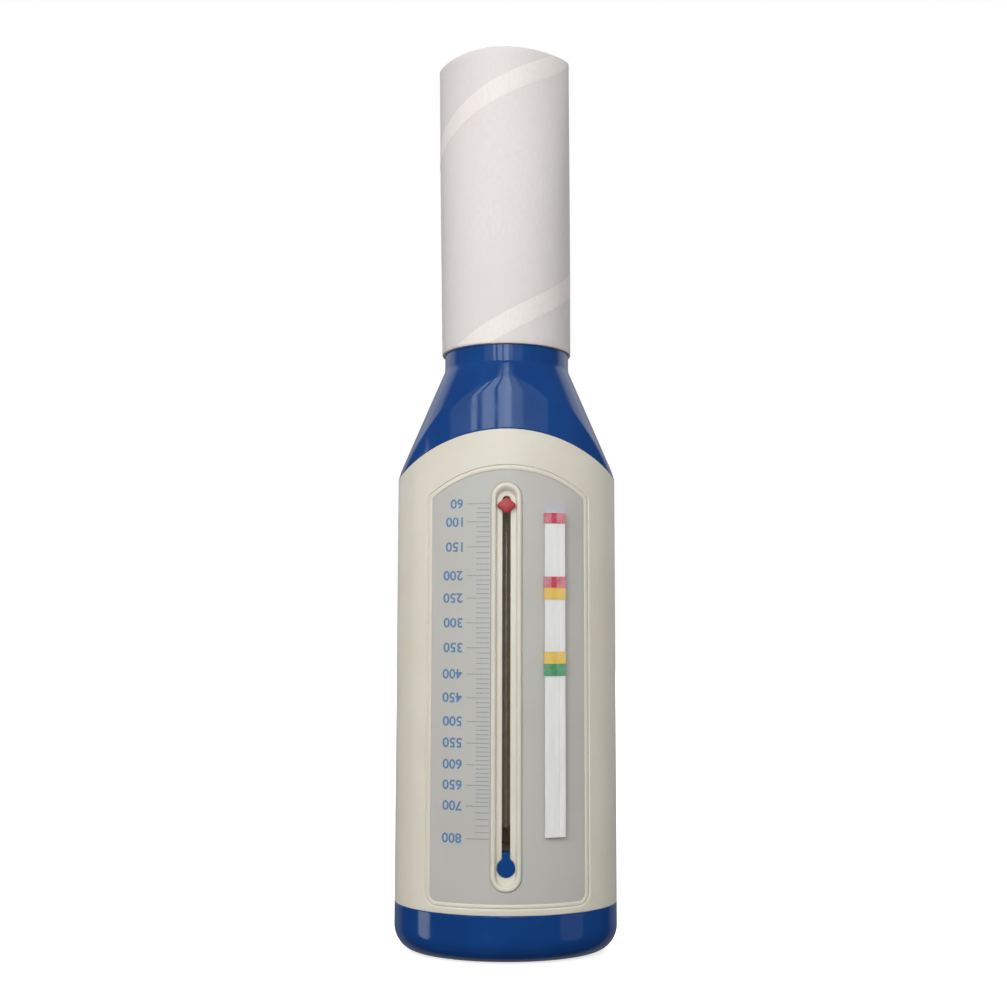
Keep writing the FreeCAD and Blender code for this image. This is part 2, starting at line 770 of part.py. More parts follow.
def make_markers(doc):
    """Three zone markers, two of them moulded in two colours, one half above the other."""
    top = "rail_top_z - upper_marker_drop"
    make_marker(doc, "UpperRed", "upper_marker_red", f"{top} - upper_marker_height", top)
    for name, drop, half, above, below in (
        ("Middle", "middle_marker_drop", "middle_marker_half_height", "red", "yellow"),
        ("Lower", "lower_marker_drop", "lower_marker_half_height", "yellow", "green"),
    ):
        top = f"rail_top_z - {drop}"
        split = f"{top} - {half}"
        node = name.lower() + "_marker_"
        make_marker(doc, name + "Above", node + above, split, top)
        make_marker(doc, name + "Below", node + below, f"{split} - {half}", split)


def make_piston(doc):
    """Cup-shaped piston disc with a notch for the pointer's foot, its bush and its clip."""
    hub_radius = "bush_radius + piston_hub_wall"
    blank = cylinder(doc, "PistonBlank", "piston_radius", "piston_bottom_z", "piston_top_z")
    hollow = ring(
        doc,
        "PistonHollow",
        "piston_radius - piston_rim_wall",
        hub_radius,
        "piston_bottom_z + piston_web",
        "piston_top_z",
    )
    bore = cylinder(doc, "PistonBore", "bush_radius", "piston_bottom_z", "piston_top_z")
    notch = box(
        doc,
        "PistonNotch",
        "flange_width + 2 * notch_clearance",
        "-barrel_bore",
        "foot_inner_y + notch_clearance",
        "piston_bottom_z",
        "piston_top_z",
    )
    disc = cut(doc, "PistonDisc", blank, hollow, bore, notch)
    finish(disc, "piston_disc")

    bush = ring(doc, "BushRing", "bush_radius", "bush_bore", "piston_bottom_z", "bush_top_z")
    groove = ring(doc, "BushGroove", "bush_radius", "clip_inner_radius", "clip_z", "clip_z + clip_thickness")
    finish(cut(doc, "PistonBush", bush, groove), "piston_bush")

    clip = ring(
        doc, "ClipRing", "bush_radius + clip_wall", "clip_inner_radius", "clip_z", "clip_z + clip_thickness"
    )
    mouth = box(
        doc, "ClipMouth", "clip_mouth", "0", "bush_radius + clip_wall", "clip_z", "clip_z + clip_thickness"
    )
    finish(cut(doc, "PistonClip", clip, mouth), "piston_clip")


def make_rod(doc):
    """Polished rod from the bush in the base to the nut above the spider."""
    rod = cylinder(doc, "Rod", "rod_radius", "foot_bush_z", "rod_top_z")
    finish(rod, "guide_rod")

    foot = ring(doc, "FootBush", "foot_bush_radius", "rod_radius", "foot_bush_z", "boss_top_z")
    finish(foot, "rod_foot_bush")

    body = doc.addObject("PartDesign::Body", "NutBody")
    sketch = new_sketch(body, "NutSection", "XY_Plane", "spider_top_z")
    add_hexagon(sketch, "nut_across_flats")
    add_circle(sketch, "rod_radius")
    pad(body, sketch, "NutPad", "nut_thickness")
    finish(body, "rod_nut")


def add_hexagon(sketch, across_flats):
    """Regular hexagon about the sketch's origin, sized by its construction circle."""
    side_count = 6
    start = 2.0
    circle = sketch.addGeometry(Part.Circle(FreeCAD.Vector(), FreeCAD.Vector(0, 0, 1), start), True)
    sketch.addConstraint(Sketcher.Constraint("Coincident", circle, 3, -1, 1))
    points = [
        FreeCAD.Vector(start * math.cos(math.pi * k / 3), start * math.sin(math.pi * k / 3), 0)
        for k in range(side_count)
    ]
    sides = [
        sketch.addGeometry(Part.LineSegment(points[k], points[(k + 1) % side_count]), False)
        for k in range(side_count)
    ]
    for k in range(side_count):
        sketch.addConstraint(Sketcher.Constraint("Coincident", sides[k], 2, sides[(k + 1) % side_count], 1))
        sketch.addConstraint(Sketcher.Constraint("PointOnObject", sides[k], 1, circle))
    for k in range(1, side_count):
        sketch.addConstraint(Sketcher.Constraint("Equal", sides[0], sides[k]))
    sketch.addConstraint(Sketcher.Constraint("PointOnObject", sides[0], 1, -1))
    size = sketch.addConstraint(Sketcher.Constraint("Radius", circle, start))
    sketch.setExpression(f"Constraints[{size}]", sized(f"{across_flats} / 2 / cos(30)"))


def make_spider(doc):
    """Rim, hub and three arms that centre the rod in the breath path."""
    body = doc.addObject("PartDesign::Body", "SpiderBody")
    rim = new_sketch(body, "SpiderRim", "XY_Plane", "spider_z")
    add_circle(rim, "spigot_bore - spider_clearance")
    add_circle(rim, "spigot_bore - spider_clearance - spider_rim_wall")
    pad(body, rim, "SpiderRimPad", "spider_thickness")
    arm = body.newObject("PartDesign::AdditiveBox", "SpiderArm")
    overlap = "spider_rim_wall / 2"
    bind(
        arm,
        Length=f"spigot_bore - spider_clearance - {overlap}",
        Width="spider_arm_width",
        Height="spider_thickness",
    )
    arm.AttachmentSupport = [(origin_feature(body, "XY_Plane"), "")]
    arm.MapMode = "FlatFace"
    arm.setExpression("AttachmentOffset.Base.y", sized("-spider_arm_width / 2"))
    arm.setExpression("AttachmentOffset.Base.z", sized("spider_z"))
    doc.recompute()
    arms = body.newObject("PartDesign::PolarPattern", "SpiderArms")
    arms.Originals = [arm]
    arms.Axis = (origin_feature(body, "Z_Axis"), [""])
    arms.Angle = 360
    arms.Occurrences = 3
    body.Tip = arms
    doc.recompute()
    hub = new_sketch(body, "SpiderHub", "XY_Plane", "spider_z")
    add_circle(hub, "spider_hub_radius")
    pad(body, hub, "SpiderHubPad", "spider_thickness")
    doc.recompute()
    hole = body.newObject("PartDesign::SubtractiveCylinder", "SpiderHole")
    bind(hole, Radius="rod_radius", Height="spider_thickness")
    hole.AttachmentSupport = [(origin_feature(body, "XY_Plane"), "")]
    hole.MapMode = "FlatFace"
    hole.setExpression("AttachmentOffset.Base.z", sized("spider_z"))
    return finish(body, "top_spider")


def make_stop(doc):
    """Spacer on the boss and the rubber bump stop that ends the piston's travel."""
    spacer = ring(doc, "Spacer", "rod_radius + spacer_wall", "rod_radius", "boss_top_z", "bump_bottom_z")
    finish(spacer, "stop_spacer")
    bump = ring(doc, "Bump", "rod_radius + bump_wall", "rod_radius", "bump_bottom_z", "bump_top_z")
    finish(bump, "bottom_bump_stop")


def make_spring(doc):
    """Light extension spring round the rod, closed at rest and stretched by the piston."""
    helix = doc.addObject("Part::Helix", "SpringLine")
    bind(helix, Radius="spring_radius", Pitch="spring_pitch", Height="spring_high_z - spring_low_z")
    place(helix, z="spring_low_z")
    wire = doc.addObject("Part::Circle", "SpringWire")
    bind(wire, Radius="spring_wire_radius")
    wire.Placement.Rotation = FreeCAD.Rotation(FreeCAD.Vector(1, 0, 0), 90)
    place(wire, x="spring_radius", z="spring_low_z")
    sweep = doc.addObject("Part::Sweep", "Spring")
    sweep.Sections = [wire]
    sweep.Spine = (helix, [])
    sweep.Solid = True
    sweep.Frenet = True
    return finish(sweep, "return_spring")


def make_pointer(doc):
    """Red pointer in the rim, its felt pad, and the carriage that the piston pushes."""
    body = doc.addObject("PartDesign::Body", "PointerBody")
    sketch = new_sketch(body, "PointerOutline", "XZ_Plane", "-pointer_back_y")
    add_diamond(sketch, "pointer_sharp_width", "pointer_sharp_height", "pointer_z")
    block = pad(body, sketch, "PointerPad", "pointer_thickness")
    doc.recompute()
    fillet = body.newObject("PartDesign::Fillet", "PointerCorners")
    fillet.Base = (block, edges_along_y(block.Shape))
    bind(fillet, Radius="pointer_corner_radius")
    finish(body, "pointer_cap")

    felt = box(
        doc,
        "Felt",
        "felt_width",
        "pointer_back_y",
        "felt_back_y",
        "pointer_z - felt_height / 2",
        "pointer_z + felt_height / 2",
    )
    stem_space = box(
        doc, "FeltStemSpace", "carriage_width", "pointer_back_y", "felt_back_y", "foot_bottom_z", "foot_top_z"
    )
    finish(cut(doc, "PointerFelt", felt, stem_space), "pointer_felt")

    stem = box(
        doc, "CarriageStem", "carriage_width", "pointer_back_y", "foot_inner_y", "foot_bottom_z", "foot_top_z"
    )
    flange = box(
        doc,
        "CarriageFlange",
        "flange_width",
        "flange_front_y",
        "flange_front_y + flange_thickness",
        "foot_bottom_z",
        "foot_top_z",
    )
    finish(fuse(doc, "Carriage", stem, flange), "pointer_carriage")


def add_diamond(sketch, width, height, level):
    """Diamond with its centre on the sketch's vertical axis at a level."""
    start = 1.0
    start_level = 10.0
    tips = ((start, 0), (0, start), (-start, 0), (0, -start))
    points = [FreeCAD.Vector(x, y + start_level, 0) for x, y in tips]
    sides = [sketch.addGeometry(Part.LineSegment(points[k], points[(k + 1) % 4]), False) for k in range(4)]
    for k in range(4):
        sketch.addConstraint(Sketcher.Constraint("Coincident", sides[k], 2, sides[(k + 1) % 4], 1))
    sketch.addConstraint(Sketcher.Constraint("PointOnObject", sides[1], 1, -2))
    sketch.addConstraint(Sketcher.Constraint("PointOnObject", sides[3], 1, -2))
    sketch.addConstraint(Sketcher.Constraint("Horizontal", sides[0], 1, sides[2], 1))
    sketch.addConstraint(Sketcher.Constraint("Equal", sides[0], sides[1]))
    sketch.addConstraint(Sketcher.Constraint("Equal", sides[1], sides[2]))
    across = sketch.addConstraint(Sketcher.Constraint("DistanceX", sides[2], 1, sides[0], 1, 2 * start))
    tall = sketch.addConstraint(Sketcher.Constraint("DistanceY", sides[3], 1, sides[1], 1, 2 * start))
    low = sketch.addConstraint(
        Sketcher.Constraint("DistanceY", -1, 1, sides[3], 1, start_level - start)
    )
    sketch.setExpression(f"Constraints[{across}]", sized(width))
    sketch.setExpression(f"Constraints[{tall}]", sized(height))
    sketch.setExpression(f"Constraints[{low}]", sized(f"{level} - {height} / 2"))


def edges_along_y(shape):
    """Names of the straight edges that run from front to back."""
    names = []
    for number, edge in enumerate(shape.Edges, start=1):
        limits = edge.BoundBox
        if limits.YLength > TOLERANCE and limits.XLength < TOLERANCE and limits.ZLength < TOLERANCE:
            names.append(f"Edge{number}")
    return names


def check_document(doc):
    """Stop if any object failed or any sub-part has no valid solid."""
    for obj in doc.Objects:
        if "Invalid" in obj.State or "Error" in obj.State:
            raise RuntimeError(f"{obj.Name} ({obj.Label}) failed: {obj.State}")
    for obj in PARTS:
        if obj.Shape.isNull() or not obj.Shape.isValid() or not obj.Shape.Solids:
            raise RuntimeError(f"{obj.Label} has no valid solid")


def main():
    doc = FreeCAD.newDocument("PeakFlowMeter")
    fill_sheet(doc)
    make_mouthpiece_tube(doc)
    make_top_cap(doc)
    make_body_sleeve(doc)
    make_bottom_cap(doc)
    make_barrel(doc)
    make_gaskets(doc)
    make_scale_panel(doc)
    make_slot_plug(doc)
    make_zone_rail(doc)
    make_markers(doc)
    make_piston(doc)
    make_rod(doc)
    make_spider(doc)
    make_stop(doc)
    make_spring(doc)
    make_pointer(doc)
    doc.recompute()
    check_document(doc)
    os.makedirs("parts", exist_ok=True)
    for obj in PARTS:
        obj.Shape.exportStep(f"parts/{obj.Label}.step")
        limits = obj.Shape.BoundBox
        print(
            f"{obj.Label}: {len(obj.Shape.Solids)} solid, {obj.Shape.Volume:.1f} mm3,"
            f" x {limits.XMin:.2f} {limits.XMax:.2f}, y {limits.YMin:.2f} {limits.YMax:.2f},"
            f" z {limits.ZMin:.2f} {limits.ZMax:.2f}"
        )


main()
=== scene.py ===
import math

import bmesh
import bpy
from mathutils import Matrix, Vector
from mathutils.geometry import delaunay_2d_cdt


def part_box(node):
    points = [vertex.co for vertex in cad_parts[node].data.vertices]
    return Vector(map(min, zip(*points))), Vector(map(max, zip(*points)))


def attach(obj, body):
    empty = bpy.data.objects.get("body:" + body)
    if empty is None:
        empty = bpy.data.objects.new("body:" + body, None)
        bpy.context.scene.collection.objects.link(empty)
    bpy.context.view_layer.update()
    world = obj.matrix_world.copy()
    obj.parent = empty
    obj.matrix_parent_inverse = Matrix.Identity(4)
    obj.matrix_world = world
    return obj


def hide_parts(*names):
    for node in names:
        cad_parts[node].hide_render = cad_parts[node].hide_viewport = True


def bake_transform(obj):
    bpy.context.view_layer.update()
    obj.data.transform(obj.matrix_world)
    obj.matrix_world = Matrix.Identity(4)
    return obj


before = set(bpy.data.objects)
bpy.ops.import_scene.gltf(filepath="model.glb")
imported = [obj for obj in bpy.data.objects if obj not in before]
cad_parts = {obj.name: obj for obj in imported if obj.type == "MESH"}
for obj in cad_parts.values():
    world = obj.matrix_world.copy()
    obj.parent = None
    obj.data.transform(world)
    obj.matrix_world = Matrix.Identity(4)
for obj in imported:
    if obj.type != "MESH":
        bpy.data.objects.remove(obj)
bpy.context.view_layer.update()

# A peak flow meter on its base: mouthpiece up, scale towards -Y, +Z up.
# Sizes are in millimetres and become metres when a mesh is made.
MM = 0.001


def corners(node):
    """Lowest and highest corner of a CAD node, in millimetres."""
    low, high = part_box(node)
    return low / MM, high / MM


SLEEVE_LOW, SLEEVE_HIGH = corners("body_sleeve")
CAP_LOW, CAP_HIGH = corners("top_cap")
BASE_HIGH = corners("bottom_cap")[1]
TUBE_LOW, TUBE_HIGH = corners("mouthpiece_tube")
PANEL_LOW, PANEL_HIGH = corners("scale_panel")
RAIL_LOW, RAIL_HIGH = corners("zone_rail")
PLUG_LOW, PLUG_HIGH = corners("slot_end_plug")
POINTER_LOW, POINTER_HIGH = corners("pointer_cap")
SPRING_LOW, SPRING_HIGH = corners("return_spring")

# Body
HALF_WIDTH = SLEEVE_HIGH.x
HALF_DEPTH = BASE_HIGH.y
SEAM_Z = SLEEVE_LOW.z
ARCH_TOP_Z = SLEEVE_HIGH.z
ARCH_RISE = 10.1
ARCH_RADIUS = (HALF_WIDTH**2 + ARCH_RISE**2) / (2 * ARCH_RISE)
SLEEVE_WALL = 1.8
SEAM_EDGE = 0.22
COLUMNS = 288
WALL_ROWS = 24
FILL_TOLERANCE = 1e-7
MERGE_DISTANCE = 1e-5
CIRCLE_POINTS = 40
ROUNDING_STEPS = 4

# Scale panel and the recess round it
PANEL_PLAY = 0.15
PANEL_HALF = PANEL_HIGH.x + PANEL_PLAY
PANEL_BOTTOM = PANEL_LOW.z - PANEL_PLAY
PANEL_TOP = PANEL_HIGH.z + PANEL_PLAY
PANEL_RISE = 6.8
PANEL_RADIUS = (PANEL_HALF**2 + PANEL_RISE**2) / (2 * PANEL_RISE)
PANEL_SHOULDER = 2.2
PANEL_CORNER = 2.6
PANEL_SHIFT = 0.35
PANEL_LIFT = -0.13
RECESS = 0.6
RECESS_FLOOR = -RECESS + 0.05

# Slot, keyhole and the raised rim round them
RIM_HALF = 3.425
RIM_FRONT = SLEEVE_LOW.y
RIM_FLOOR = RIM_FRONT + 1.0
RIM_LOW = 15.7
RIM_HIGH = 104.0
SLOT_HALF = 0.9
SLOT_TOP = 100.9
KEYHOLE_RADIUS = 2.0
KEYHOLE_Z = PLUG_LOW.z + PLUG_HIGH.x
KEYHOLE_FILLET = 0.7

# Rail on the right of the slot
RAIL_X = 10.4
RAIL_HEAD = 4.4
RAIL_STEM = 2.8
RAIL_STAND = 1.0
RAIL_THICKNESS = 0.5
RAIL_GROOVE = 1.0
RAIL_EDGE = 0.1
RAIL_SHARE = RAIL_X / HALF_WIDTH
RAIL_SLOPE = math.atan2(HALF_DEPTH * RAIL_SHARE / HALF_WIDTH, math.sqrt(1 - RAIL_SHARE**2))
MARKER_RIB = 0.1


def body_y(x, lift=0.0):
    """Front surface of the body at x, moved out by a lift."""
    width = HALF_WIDTH + lift
    depth = HALF_DEPTH + lift
    return -depth * math.sqrt(max(0.0, 1 - (x / width) ** 2))


def on_body(places, lift):
    """Points over places of the front view, on the body's curve moved out by a lift."""
    return [(x, body_y(x, lift), z) for x, z in places]


def arch_z(x):
    """Height of the arched seam between the sleeve and the top cap."""
    return ARCH_TOP_Z - ARCH_RADIUS + math.sqrt(ARCH_RADIUS**2 - x * x)


def arc(x, z, radius, start, end, count):
    """Points of an arc in the front view, both ends included, angles in radians."""
    steps = [start + (end - start) * k / (count - 1) for k in range(count)]
    return [(x + radius * math.cos(t), z + radius * math.sin(t)) for t in steps]


def between(start, end, count):
    """Points strictly between two points, evenly spaced."""
    shares = [(k + 1) / (count + 1) for k in range(count)]
    return [tuple(a + (b - a) * share for a, b in zip(start, end)) for share in shares]


def ellipse(angle, inset):
    """Point of the body's section: angle 0 faces the front, the inset shortens both axes."""
    return (HALF_WIDTH - inset) * math.sin(angle), -(HALF_DEPTH - inset) * math.cos(angle)


def full_turn(count=COLUMNS):
    """Angles that divide a turn evenly."""
    return [2 * math.pi * k / count for k in range(count)]


def smooth(points, steps):
    """Profile points joined by a smooth curve through all of them."""
    result = []
    last = len(points) - 1
    for k in range(last):
        p0, p1, p2, p3 = (points[min(max(k + n, 0), last)] for n in (-1, 0, 1, 2))
        for step in range(steps):
            t = step / steps
            point = []
            for a, b, c, d in zip(p0, p1, p2, p3):
                square, cube = 2 * a - 5 * b + 4 * c - d, 3 * b - a - 3 * c + d
                point.append(0.5 * (2 * b + (c - a) * t + square * t**2 + cube * t**3))
            result.append(tuple(point))
    return result + [points[-1]]


def is_inside(place, outline):
    """Whether a place lies inside a closed outline in the same plane."""
    inside = False
    for (x1, y1), (x2, y2) in zip(outline, outline[1:] + outline[:1]):
        crosses = (y1 > place.y) != (y2 > place.y)
        if crosses and place.x < x1 + (x2 - x1) * (place.y - y1) / (y2 - y1):
            inside = not inside
    return inside


def placed(name, data):
    """Object with the data, in the scene."""
    thing = bpy.data.objects.new(name, data)
    bpy.context.scene.collection.objects.link(thing)
    return thing


class Piece:
    """One closed mesh, gathered in millimetres."""

    def __init__(self):
        self.mesh = bmesh.new()

    def loop(self, points):
        return [self.mesh.verts.new(point) for point in points]

    def bridge(self, *loops):
        """Quads between closed loops that have as many points each."""
        for near, far in zip(loops, loops[1:]):
            count = len(near)
            for k in range(count):
                after = (k + 1) % count
                self.mesh.faces.new((near[k], near[after], far[after], far[k]))

    def face(self, loop):
        self.mesh.faces.new(loop)

    def bar(self, loops):
        """Skin over loops, closed at both ends."""
        self.bridge(*loops)
        self.face(loops[0])
        self.face(loops[-1])

    def fill(self, outlines, flat, lifted, spots=()):
        """Triangles between an outline and the holes in it.

        flat gives a vertex's place in the plane, lifted the point over such a place,
        and spots are more places to pass through."""
        fixed = [vertex for outline in outlines for vertex in outline]
        places = [Vector(flat(vertex.co)) for vertex in fixed] + [Vector(spot) for spot in spots]
        edges = []
        start = 0
        for outline in outlines:
            count = len(outline)
            edges += [(start + k, start + (k + 1) % count) for k in range(count)]
            start += count
        filled = delaunay_2d_cdt(places, edges, [], 1, FILL_TOLERANCE)
        flat_points, _, triangles, sources = filled[:4]
        holes = [[flat(vertex.co) for vertex in outline] for outline in outlines[1:]]
        made = {}
        for triangle in triangles:
            middle = sum((flat_points[index] for index in triangle), Vector((0, 0))) / 3
            if any(is_inside(middle, hole) for hole in holes):
                continue
            for index in triangle:
                if index not in made:
                    own = [fixed[source] for source in sources[index] if source < len(fixed)]
                    point = lifted(*flat_points[index])
                    made[index] = own[0] if own else self.mesh.verts.new(point)
            self.mesh.faces.new([made[index] for index in triangle])

    def build(self, name, material, nodes=(), body="housing", sharp=40, bevel=0.0):
        """Make the object, smooth except at sharp edges, and let it ride on a body."""
        bmesh.ops.remove_doubles(self.mesh, verts=self.mesh.verts, dist=MERGE_DISTANCE)
        bmesh.ops.recalc_face_normals(self.mesh, faces=self.mesh.faces)
        bmesh.ops.scale(self.mesh, vec=(MM, MM, MM), verts=self.mesh.verts)
        for face in self.mesh.faces:
            face.smooth = True
        for edge in self.mesh.edges:
            edge.smooth = edge.calc_face_angle(0) < math.radians(sharp)
        data = bpy.data.meshes.new(name)
        self.mesh.to_mesh(data)
        self.mesh.free()
        data.materials.append(material)
        piece = placed(name, data)
        if bevel:
            rounding = piece.modifiers.new("rounding", "BEVEL")
            rounding.width = bevel * MM
            rounding.segments = 3
            rounding.limit_method = "ANGLE"
            rounding.angle_limit = math.radians(sharp)
            rounding.harden_normals = True
        shading = piece.modifiers.new("shading", "WEIGHTED_NORMAL")
        shading.keep_sharp = True
        if nodes:
            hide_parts(*nodes)
        if body:
            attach(piece, body)
        return piece


def panel_outline(inset):
    """Arched outline of the panel, pulled in by an inset, anticlockwise from the bottom left."""
    half = PANEL_HALF - inset
    radius = PANEL_RADIUS - inset
    corner = PANEL_CORNER - inset
    shoulder = PANEL_SHOULDER - inset
    low = PANEL_BOTTOM + inset
    centre = PANEL_TOP - PANEL_RADIUS
    rise = math.sqrt((radius - shoulder) ** 2 - (half - shoulder) ** 2)
    turn = math.atan2(rise, half - shoulder)
    quarter = math.pi / 2
    in_corner, in_shoulder, along_bottom, along_side = 10, 8, 30, 60
    bottom_left = arc(-half + corner, low + corner, corner, 2 * quarter, 3 * quarter, in_corner)
    bottom_right = arc(half - corner, low + corner, corner, 3 * quarter, 4 * quarter, in_corner)
    right = arc(half - shoulder, centre + rise, shoulder, 0, turn, in_shoulder)
    crown = arc(0, centre, radius, turn, math.pi - turn, along_side)
    left = arc(-half + shoulder, centre + rise, shoulder, math.pi - turn, math.pi, in_shoulder)
    points = bottom_left + between(bottom_left[-1], bottom_right[0], along_bottom) + bottom_right
    points += between(bottom_right[-1], right[0], along_side) + right + crown[1:-1] + left
    points += between(left[-1], bottom_left[0], along_side)
    return [(x + PANEL_SHIFT, z) for x, z in points]


def stadium(half, low, high):
    """Upright slot shape with round ends, anticlockwise from the left of its lower end."""
    in_end, along_side = 33, 40
    lower = arc(0, low + half, half, math.pi, 2 * math.pi, in_end)
    upper = arc(0, high - half, half, 0, math.pi, in_end)
    points = lower + between(lower[-1], upper[0], along_side)
    return points + upper + between(upper[-1], lower[0], along_side)


def keyhole(margin, top, round_top=True):
    """Outline of the slot over its keyhole, widened by a margin."""
    half = SLOT_HALF + margin
    radius = KEYHOLE_RADIUS + margin
    fillet = KEYHOLE_FILLET - margin
    reach = half + fillet
    rise = math.sqrt((radius + fillet) ** 2 - reach**2)
    turn = math.atan2(rise, reach)
    in_fillet, in_circle, in_end, along_side = 7, 48, 20, 30
    left = arc(-reach, KEYHOLE_Z + rise, fillet, 0, -turn, in_fillet)
    circle = arc(0, KEYHOLE_Z, radius, math.pi - turn, 2 * math.pi + turn, in_circle)
    right = arc(reach, KEYHOLE_Z + rise, fillet, math.pi + turn, math.pi, in_fillet)
    if round_top:
        end = arc(0, top - half, half, 0, math.pi, in_end)
    else:
        end = [(half, top), (-half, top)]
    points = left + circle[1:-1] + right + between(right[-1], end[0], along_side)
    return points + end + between(end[-1], left[0], along_side)


def front_view(point):
    return point.x, point.z


def plan_view(point):
    return point.x, point.y


def elliptic_wall(piece, inset, low, high, hole, reach):
    """Upright wall with an elliptical section between two levels.

    Its front is filled round a hole up to reach on each side. Returns its lower and upper edge."""
    columns = []
    for angle in full_turn():
        x, y = ellipse(angle, inset)
        shares = [row / WALL_ROWS for row in range(WALL_ROWS + 1)]
        columns.append([(x, y, low(x) + (high(x) - low(x)) * share) for share in shares])
    front = [abs(column[0][0]) < reach and column[0][1] < 0 for column in columns]
    made = []
    for column, is_front in zip(columns, front):
        made.append(piece.loop([column[0], column[-1]] if is_front else column))
    for k in range(COLUMNS):
        after = (k + 1) % COLUMNS
        if not front[k] and not front[after]:
            near, far = made[k], made[after]
            for row in range(WALL_ROWS):
                piece.face((near[row], far[row], far[row + 1], near[row + 1]))
    inside = sorted((k for k in range(COLUMNS) if front[k]), key=lambda k: columns[k][0][0])
    left = made[(inside[0] - 1) % COLUMNS]
    right = made[(inside[-1] + 1) % COLUMNS]
    outline = [left[0]] + [made[k][0] for k in inside] + right
    outline += [made[k][-1] for k in reversed(inside)] + left[:0:-1]
    spots = [(point[0], point[2]) for k in inside for point in columns[k][1:-1]]
    spots = clear_of(hole, spots)
    piece.fill([outline, hole], front_view, lambda x, z: (x, body_y(x, -inset), z), spots)
    return [column[0] for column in made], [column[-1] for column in made]


def clear_of(hole, spots):
    """Spots that keep away from a hole's edge."""
    edge = [(vertex.co.x, vertex.co.z) for vertex in hole]
    margin = 0.35
    return [spot for spot in spots if min(math.dist(spot, place) for place in edge) > margin]


# Way in from the body's surface to the panel's floor: inset of the outline, lift from the surface.
LIP_PROFILE = (
    (-0.3, 0.0), (-0.12, -0.015), (-0.02, -0.06), (0.04, -0.15), (0.1, -0.22),
    (0.17, -0.22), (0.25, -0.14), (0.38, -0.04), (0.58, 0.0), (0.82, -0.02),
    (1.0, -0.07), (1.1, -0.13), (1.13, -0.2), (1.14, -RECESS),
)
PROFILE_STEPS = 3
LIP_REACH = 20.5

# Edge of the panel, from its face to its back: inset, lift from the body's surface.
PANEL_EDGE = (
    (0.05, PANEL_LIFT), (0.015, PANEL_LIFT - 0.01), (0.0, PANEL_LIFT - 0.045),
    (0.0, RECESS_FLOOR),
)
PANEL_INSET = 1.15
PANEL_GAP = 0.03

# Section of the raised rim from its inner foot outwards: half width, depth behind its crest.
RIM_PROFILE = (
    (1.9, 1.0), (2.02, 0.97), (2.11, 0.87), (2.19, 0.62), (2.28, 0.32), (2.42, 0.12),
    (2.6, 0.02), (2.8, 0.0), (2.98, 0.03), (3.15, 0.13), (3.28, 0.28), (3.37, 0.5),
    (3.42, 0.8),
)
RIM_CREST = 2.8
RIM_LEAN = 0.75

# Edge of the slot: how far it is widened, depth behind the rim's floor.
SLOT_EDGE = ((0.12, 0.0), (0.04, 0.03), (0.0, 0.12))
SLOT_REACH = 4.0

# Rounded edge of a wall, in shares of its size: inset, drop.
EDGE_PROFILE = ((0.08, 0.6), (0.3, 0.22), (0.62, 0.05), (1.0, 0.0))


def seam_loops(piece, level, below):
    """Rounded edge of a wall at a level, from the outside inwards."""
    step = SEAM_EDGE if below else -SEAM_EDGE
    return [
        oval_loop(piece, inset * SEAM_EDGE, lambda x: level(x) + drop * step)
        for inset, drop in EDGE_PROFILE
    ]


def panel_spots():
    """Places over the panel, for its curve to pass through."""
    step_x, step_z = 1.0, 4.0
    count_x = int(PANEL_HALF / step_x)
    count_z = int((PANEL_TOP - PANEL_BOTTOM) / step_z)
    columns = range(-count_x, count_x + 1)
    return [(k * step_x, PANEL_BOTTOM + row * step_z) for k in columns for row in range(1, count_z)]


def make_sleeve(material):
    """Body sleeve with the panel's recess, the raised rim and the slot with its keyhole."""
    piece = Piece()
    lip = []
    for inset, lift in smooth(LIP_PROFILE, PROFILE_STEPS):
        lip.append(piece.loop(on_body(panel_outline(inset), lift)))
    piece.bridge(*lip)
    rim = []
    for half, depth in smooth(RIM_PROFILE, PROFILE_STEPS):
        spread = RIM_HALF - half
        lean = RIM_LEAN * depth if half < RIM_CREST else 0.0
        places = stadium(half, RIM_LOW + spread, RIM_HIGH - spread - lean)
        rim.append(piece.loop([(x, RIM_FRONT + depth, z) for x, z in places]))
    foot = piece.loop(on_body(stadium(RIM_HALF, RIM_LOW, RIM_HIGH), -RECESS))
    piece.bridge(*rim, foot)
    spots = clear_of(foot, clear_of(lip[-1], panel_spots()))
    piece.fill([lip[-1], foot], front_view, lambda x, z: (x, body_y(x, -RECESS), z), spots)
    slot = [
        piece.loop([(x, RIM_FLOOR + depth, z) for x, z in keyhole(margin, SLOT_TOP + margin)])
        for margin, depth in SLOT_EDGE
    ]
    piece.fill([rim[0], slot[0]], front_view, lambda x, z: (x, RIM_FLOOR, z))
    slot.append(piece.loop(on_body(keyhole(0.0, SLOT_TOP), -SLEEVE_WALL)))
    piece.bridge(*slot)

    low, high = elliptic_wall(
        piece, 0.0, lambda x: SEAM_Z + SEAM_EDGE, lambda x: arch_z(x) - SEAM_EDGE, lip[0], LIP_REACH
    )
    low_edge = seam_loops(piece, lambda x: SEAM_Z, True)
    high_edge = seam_loops(piece, arch_z, False)
    low_inner, high_inner = elliptic_wall(
        piece, SLEEVE_WALL, lambda x: SEAM_Z, arch_z, slot[-1], SLOT_REACH
    )
    piece.bridge(low, *low_edge, low_inner)
    piece.bridge(high, *high_edge, high_inner)
    piece.build("sleeve_shell", material, ["body_sleeve"])


